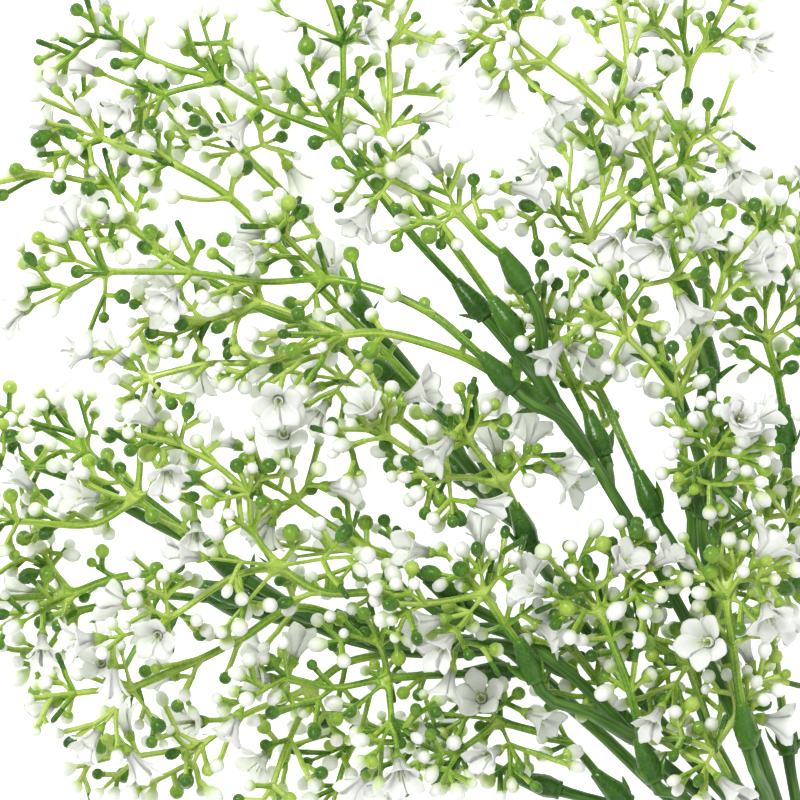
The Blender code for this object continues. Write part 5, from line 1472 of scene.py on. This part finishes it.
def keepAbove(recipe, first, kinds):
    # nothing goes through the table: low shapes tilt up, and what is still too low is lifted
    names, fields, gap = list(kinds), recipe.fields, skeleton["tableGap"]
    for k in range(first, len(recipe.points)):
        spot = recipe.points[k]
        if fields["role"][k] < 2:
            spot.z = max(spot.z, fields["thick"][k] / mm + skeleton["wireGap"])
            continue
        far, wide = (fields["size"][k] * part for part in reaches.get(names[fields["kind"][k]], (1.0, 1.0)))
        axis = Vector(fields["axis"][k])
        for _ in range(skeleton["tilts"]):
            low = min(far * axis.z, 0.0) - wide * math.sqrt(max(1.0 - axis.z ** 2, 0.0))
            if spot.z + low > gap or far < skeleton["longShape"]:
                low = min(low, -skeleton["budNeck"] * fields["size"][k] * axis.z)
                break
            axis = (axis + Vector((0.0, 0.0, skeleton["tilt"]))).normalized()
        spot.z = max(spot.z, gap - low)
        fields["axis"][k] = tuple(axis)


def makeSprig(number, blooms):
    rim, axis = collars[number]
    plan = Recipe()
    draw = random.Random(int(number) * 31)
    shade = swing(draw, skeleton["toneSpread"])
    plan.shape(rim, axis, greenKinds["collar"], 1.0, draw.uniform(0.0, math.tau), 0.5 * shade)
    start = rim + (layout["collarLength"] - skeleton["sink"]) * axis
    side = across(axis)
    for sign in (-1.0, 1.0):
        if draw.random() < skeleton["bractShare"]:
            outward = sign * side + swing(draw, skeleton["collarBractAside"]) * axis.cross(side)
            outward.normalize()
            tilted = (axis + draw.uniform(*skeleton["collarBractLean"]) * outward).normalized()
            ahead, aside = skeleton["collarBractAt"]
            spot = rim + ahead * axis + aside * outward
            plan.shape(spot, tilted, *drawBract(draw), skeleton["collarBractShade"])
    wide = skeleton["roundUp"][0] * layout["twigRadii"][0]
    first = plan.ring(start, axis, side, wide, skeleton["toneByLevel"][0][0], shade)
    plan.faces.append(tuple(reversed(first)))
    before = len(blooms.points)
    root, widths = (first, start, side, 0.0), (wide, skeleton["stemTaper"] * wide)
    growTwig(plan, blooms, stems[number], root, widths, shade)
    if number in layout["resting"]:
        layDown(plan, blooms.points[before:], rim)
    keepAbove(plan, 0, greenKinds)
    keepAbove(blooms, before, whiteKinds)
    return plan


bloomGroups = 8
blooms = [Recipe() for _ in range(bloomGroups)]
for order, number in enumerate(sorted(stems)):
    plan = makeSprig(number, blooms[order * bloomGroups // len(stems)])
    piece = plan.dress("sprig_" + number + "_green", greenShapes, greenFinish, skeleton["stalkSides"])
    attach(piece, "root")
    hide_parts("sprig_" + number)
print("sprigs dressed")
for k, plan in enumerate(blooms):
    piece = plan.dress(f"blooms_{k + 1}", whiteShapes, whiteFinish, skeleton["stalkSides"])
    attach(piece, "root")
print("blooms dressed")


# The bare stem and its limbs, as wires of one piece
woody = {
    "stemLength": 290.0, "stemRadius": 2.45, "stemGap": 0.05, "stemParts": 12, "wobble": (0.98, 1.02),
    "cutBevel": 0.5, "cutShare": 0.9, "cutTone": 0.75, "stemTone": 0.35, "tipPast": 17.0, "tipRadius": 1.6,
    "sides": 14, "step": 4.0, "limbFoot": 0.8, "limbTone": 0.36, "toneSpread": 0.14,
    "stub": ((0.2, 1.22), (4.3, 1.15)), "stubSwell": 1.1,
}


def makeStem():
    plan = Recipe()
    draw = random.Random(5)
    low, length, radius = woody["stemRadius"] + woody["stemGap"], woody["stemLength"], woody["stemRadius"]
    parts = woody["stemParts"]
    spots = [0.0, woody["cutBevel"]] + [length * k / parts for k in range(1, parts + 1)]
    spots.append(length + woody["tipPast"])
    widths = [woody["cutShare"] * radius] + [radius * draw.uniform(*woody["wobble"]) for _ in spots[2:]]
    widths.append(woody["tipRadius"])
    tones = [woody["cutTone"]] + [woody["stemTone"]] * (len(spots) - 1)
    plan.wire([Vector((layout["forkX"] - length + x, 0.0, low)) for x in spots], widths, tones)
    first, last = layout["limbRadius"], layout["limbTipRadius"]
    (neckAt, neckWide), (endAt, endRadius) = woody["stub"]
    for row in limbRoutes:
        points, _, axis = limbPoints(row)
        way = points[:-1] + [points[-1] - layout["stubNeck"] * axis]
        spots, _ = smoothWay(way, (way[1] - way[0]).normalized(), axis, woody["step"], 0.0, draw)
        count = len(spots)
        spots += [points[-1] + neckAt * axis, points[-1] + endAt * axis]
        widths = [first + (last - first) * k / count for k in range(count - 1)]
        widths += [woody["stubSwell"] * last, neckWide * last, endRadius]
        widths[0] *= woody["limbFoot"]
        plan.wire(spots, widths, [woody["limbTone"] + woody["toneSpread"] * draw.random() for _ in spots])
    piece = plan.dress("stem_and_limbs", greenShapes, darkFinish, woody["sides"])
    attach(piece, "root")
    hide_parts("main_stem")


makeStem()
print("stem dressed")


# Table, light and camera
studio = {
    "floorSize": 4.0, "floorDrop": 0.0002,
    "floor": {"Base Color": (0.95, 0.95, 0.95, 1.0), "Roughness": 0.7, "Emission Color": (1.0, 1.0, 1.0, 1.0),
              "Emission Strength": 0.8},
    "sky": 0.48, "seenSky": 0.97,
    "key": {"power": 13.6, "size": 0.36, "place": (0.68, 0.18, 1.2)},
    "fill": {"power": 3.0, "size": 1.0, "place": (-0.7, -0.4, 0.9)},
    "lens": 250.0, "sensor": 36.0, "frameWidth": 0.2, "aim": (100.0, 100.0, 40.0), "farthest": 20.0,
}


def makeStudio():
    scene = bpy.context.scene
    scene.view_settings.view_transform = "Standard"
    half = studio["floorSize"] / 2.0
    mesh = bpy.data.meshes.new("table")
    corners = ((-half, -half), (half, -half), (half, half), (-half, half))
    mesh.from_pydata([(x, y, -studio["floorDrop"]) for x, y in corners], [], [(0, 1, 2, 3)])
    mesh.materials.append(shader("paleTable", studio["floor"])[0])
    table = addObject("table", mesh)
    sky = bpy.data.worlds.new("studio")
    sky.use_nodes = True
    backdrop = sky.node_tree.nodes["Background"].inputs
    backdrop["Color"].default_value = (1.0, 1.0, 1.0, 1.0)
    rays = node(sky.node_tree, "ShaderNodeLightPath").outputs["Is Camera Ray"]
    links = {"Value": rays, "To Min": studio["sky"], "To Max": studio["seenSky"]}
    seen = node(sky.node_tree, "ShaderNodeMapRange", links)
    sky.node_tree.links.new(seen.outputs["Result"], backdrop["Strength"])
    scene.world = sky
    target = place(*studio["aim"]) * mm
    for label in ("key", "fill"):
        light = bpy.data.lights.new(label, "AREA")
        light.energy, light.size = studio[label]["power"], studio[label]["size"]
        lamp = addObject(label, light)
        lamp.location = target + Vector(studio[label]["place"])
        lamp.rotation_mode = "QUATERNION"
        lamp.rotation_quaternion = (target - lamp.location).to_track_quat("-Z", "Y")
    lens = bpy.data.cameras.new("camera")
    lens.lens, lens.sensor_width, lens.clip_end = studio["lens"], studio["sensor"], studio["farthest"]
    camera = addObject("camera", lens)
    away = studio["frameWidth"] * studio["lens"] / studio["sensor"]
    camera.location = target + Vector((0.0, 0.0, away))
    camera.rotation_euler = (0.0, 0.0, -layout["slant"])
    scene.camera = camera


makeStudio()
for group in (greenShapes, whiteShapes):
    for shape in list(group.objects):
        bpy.data.objects.remove(shape, do_unlink=True)
    bpy.data.collections.remove(group)
print("stage set")
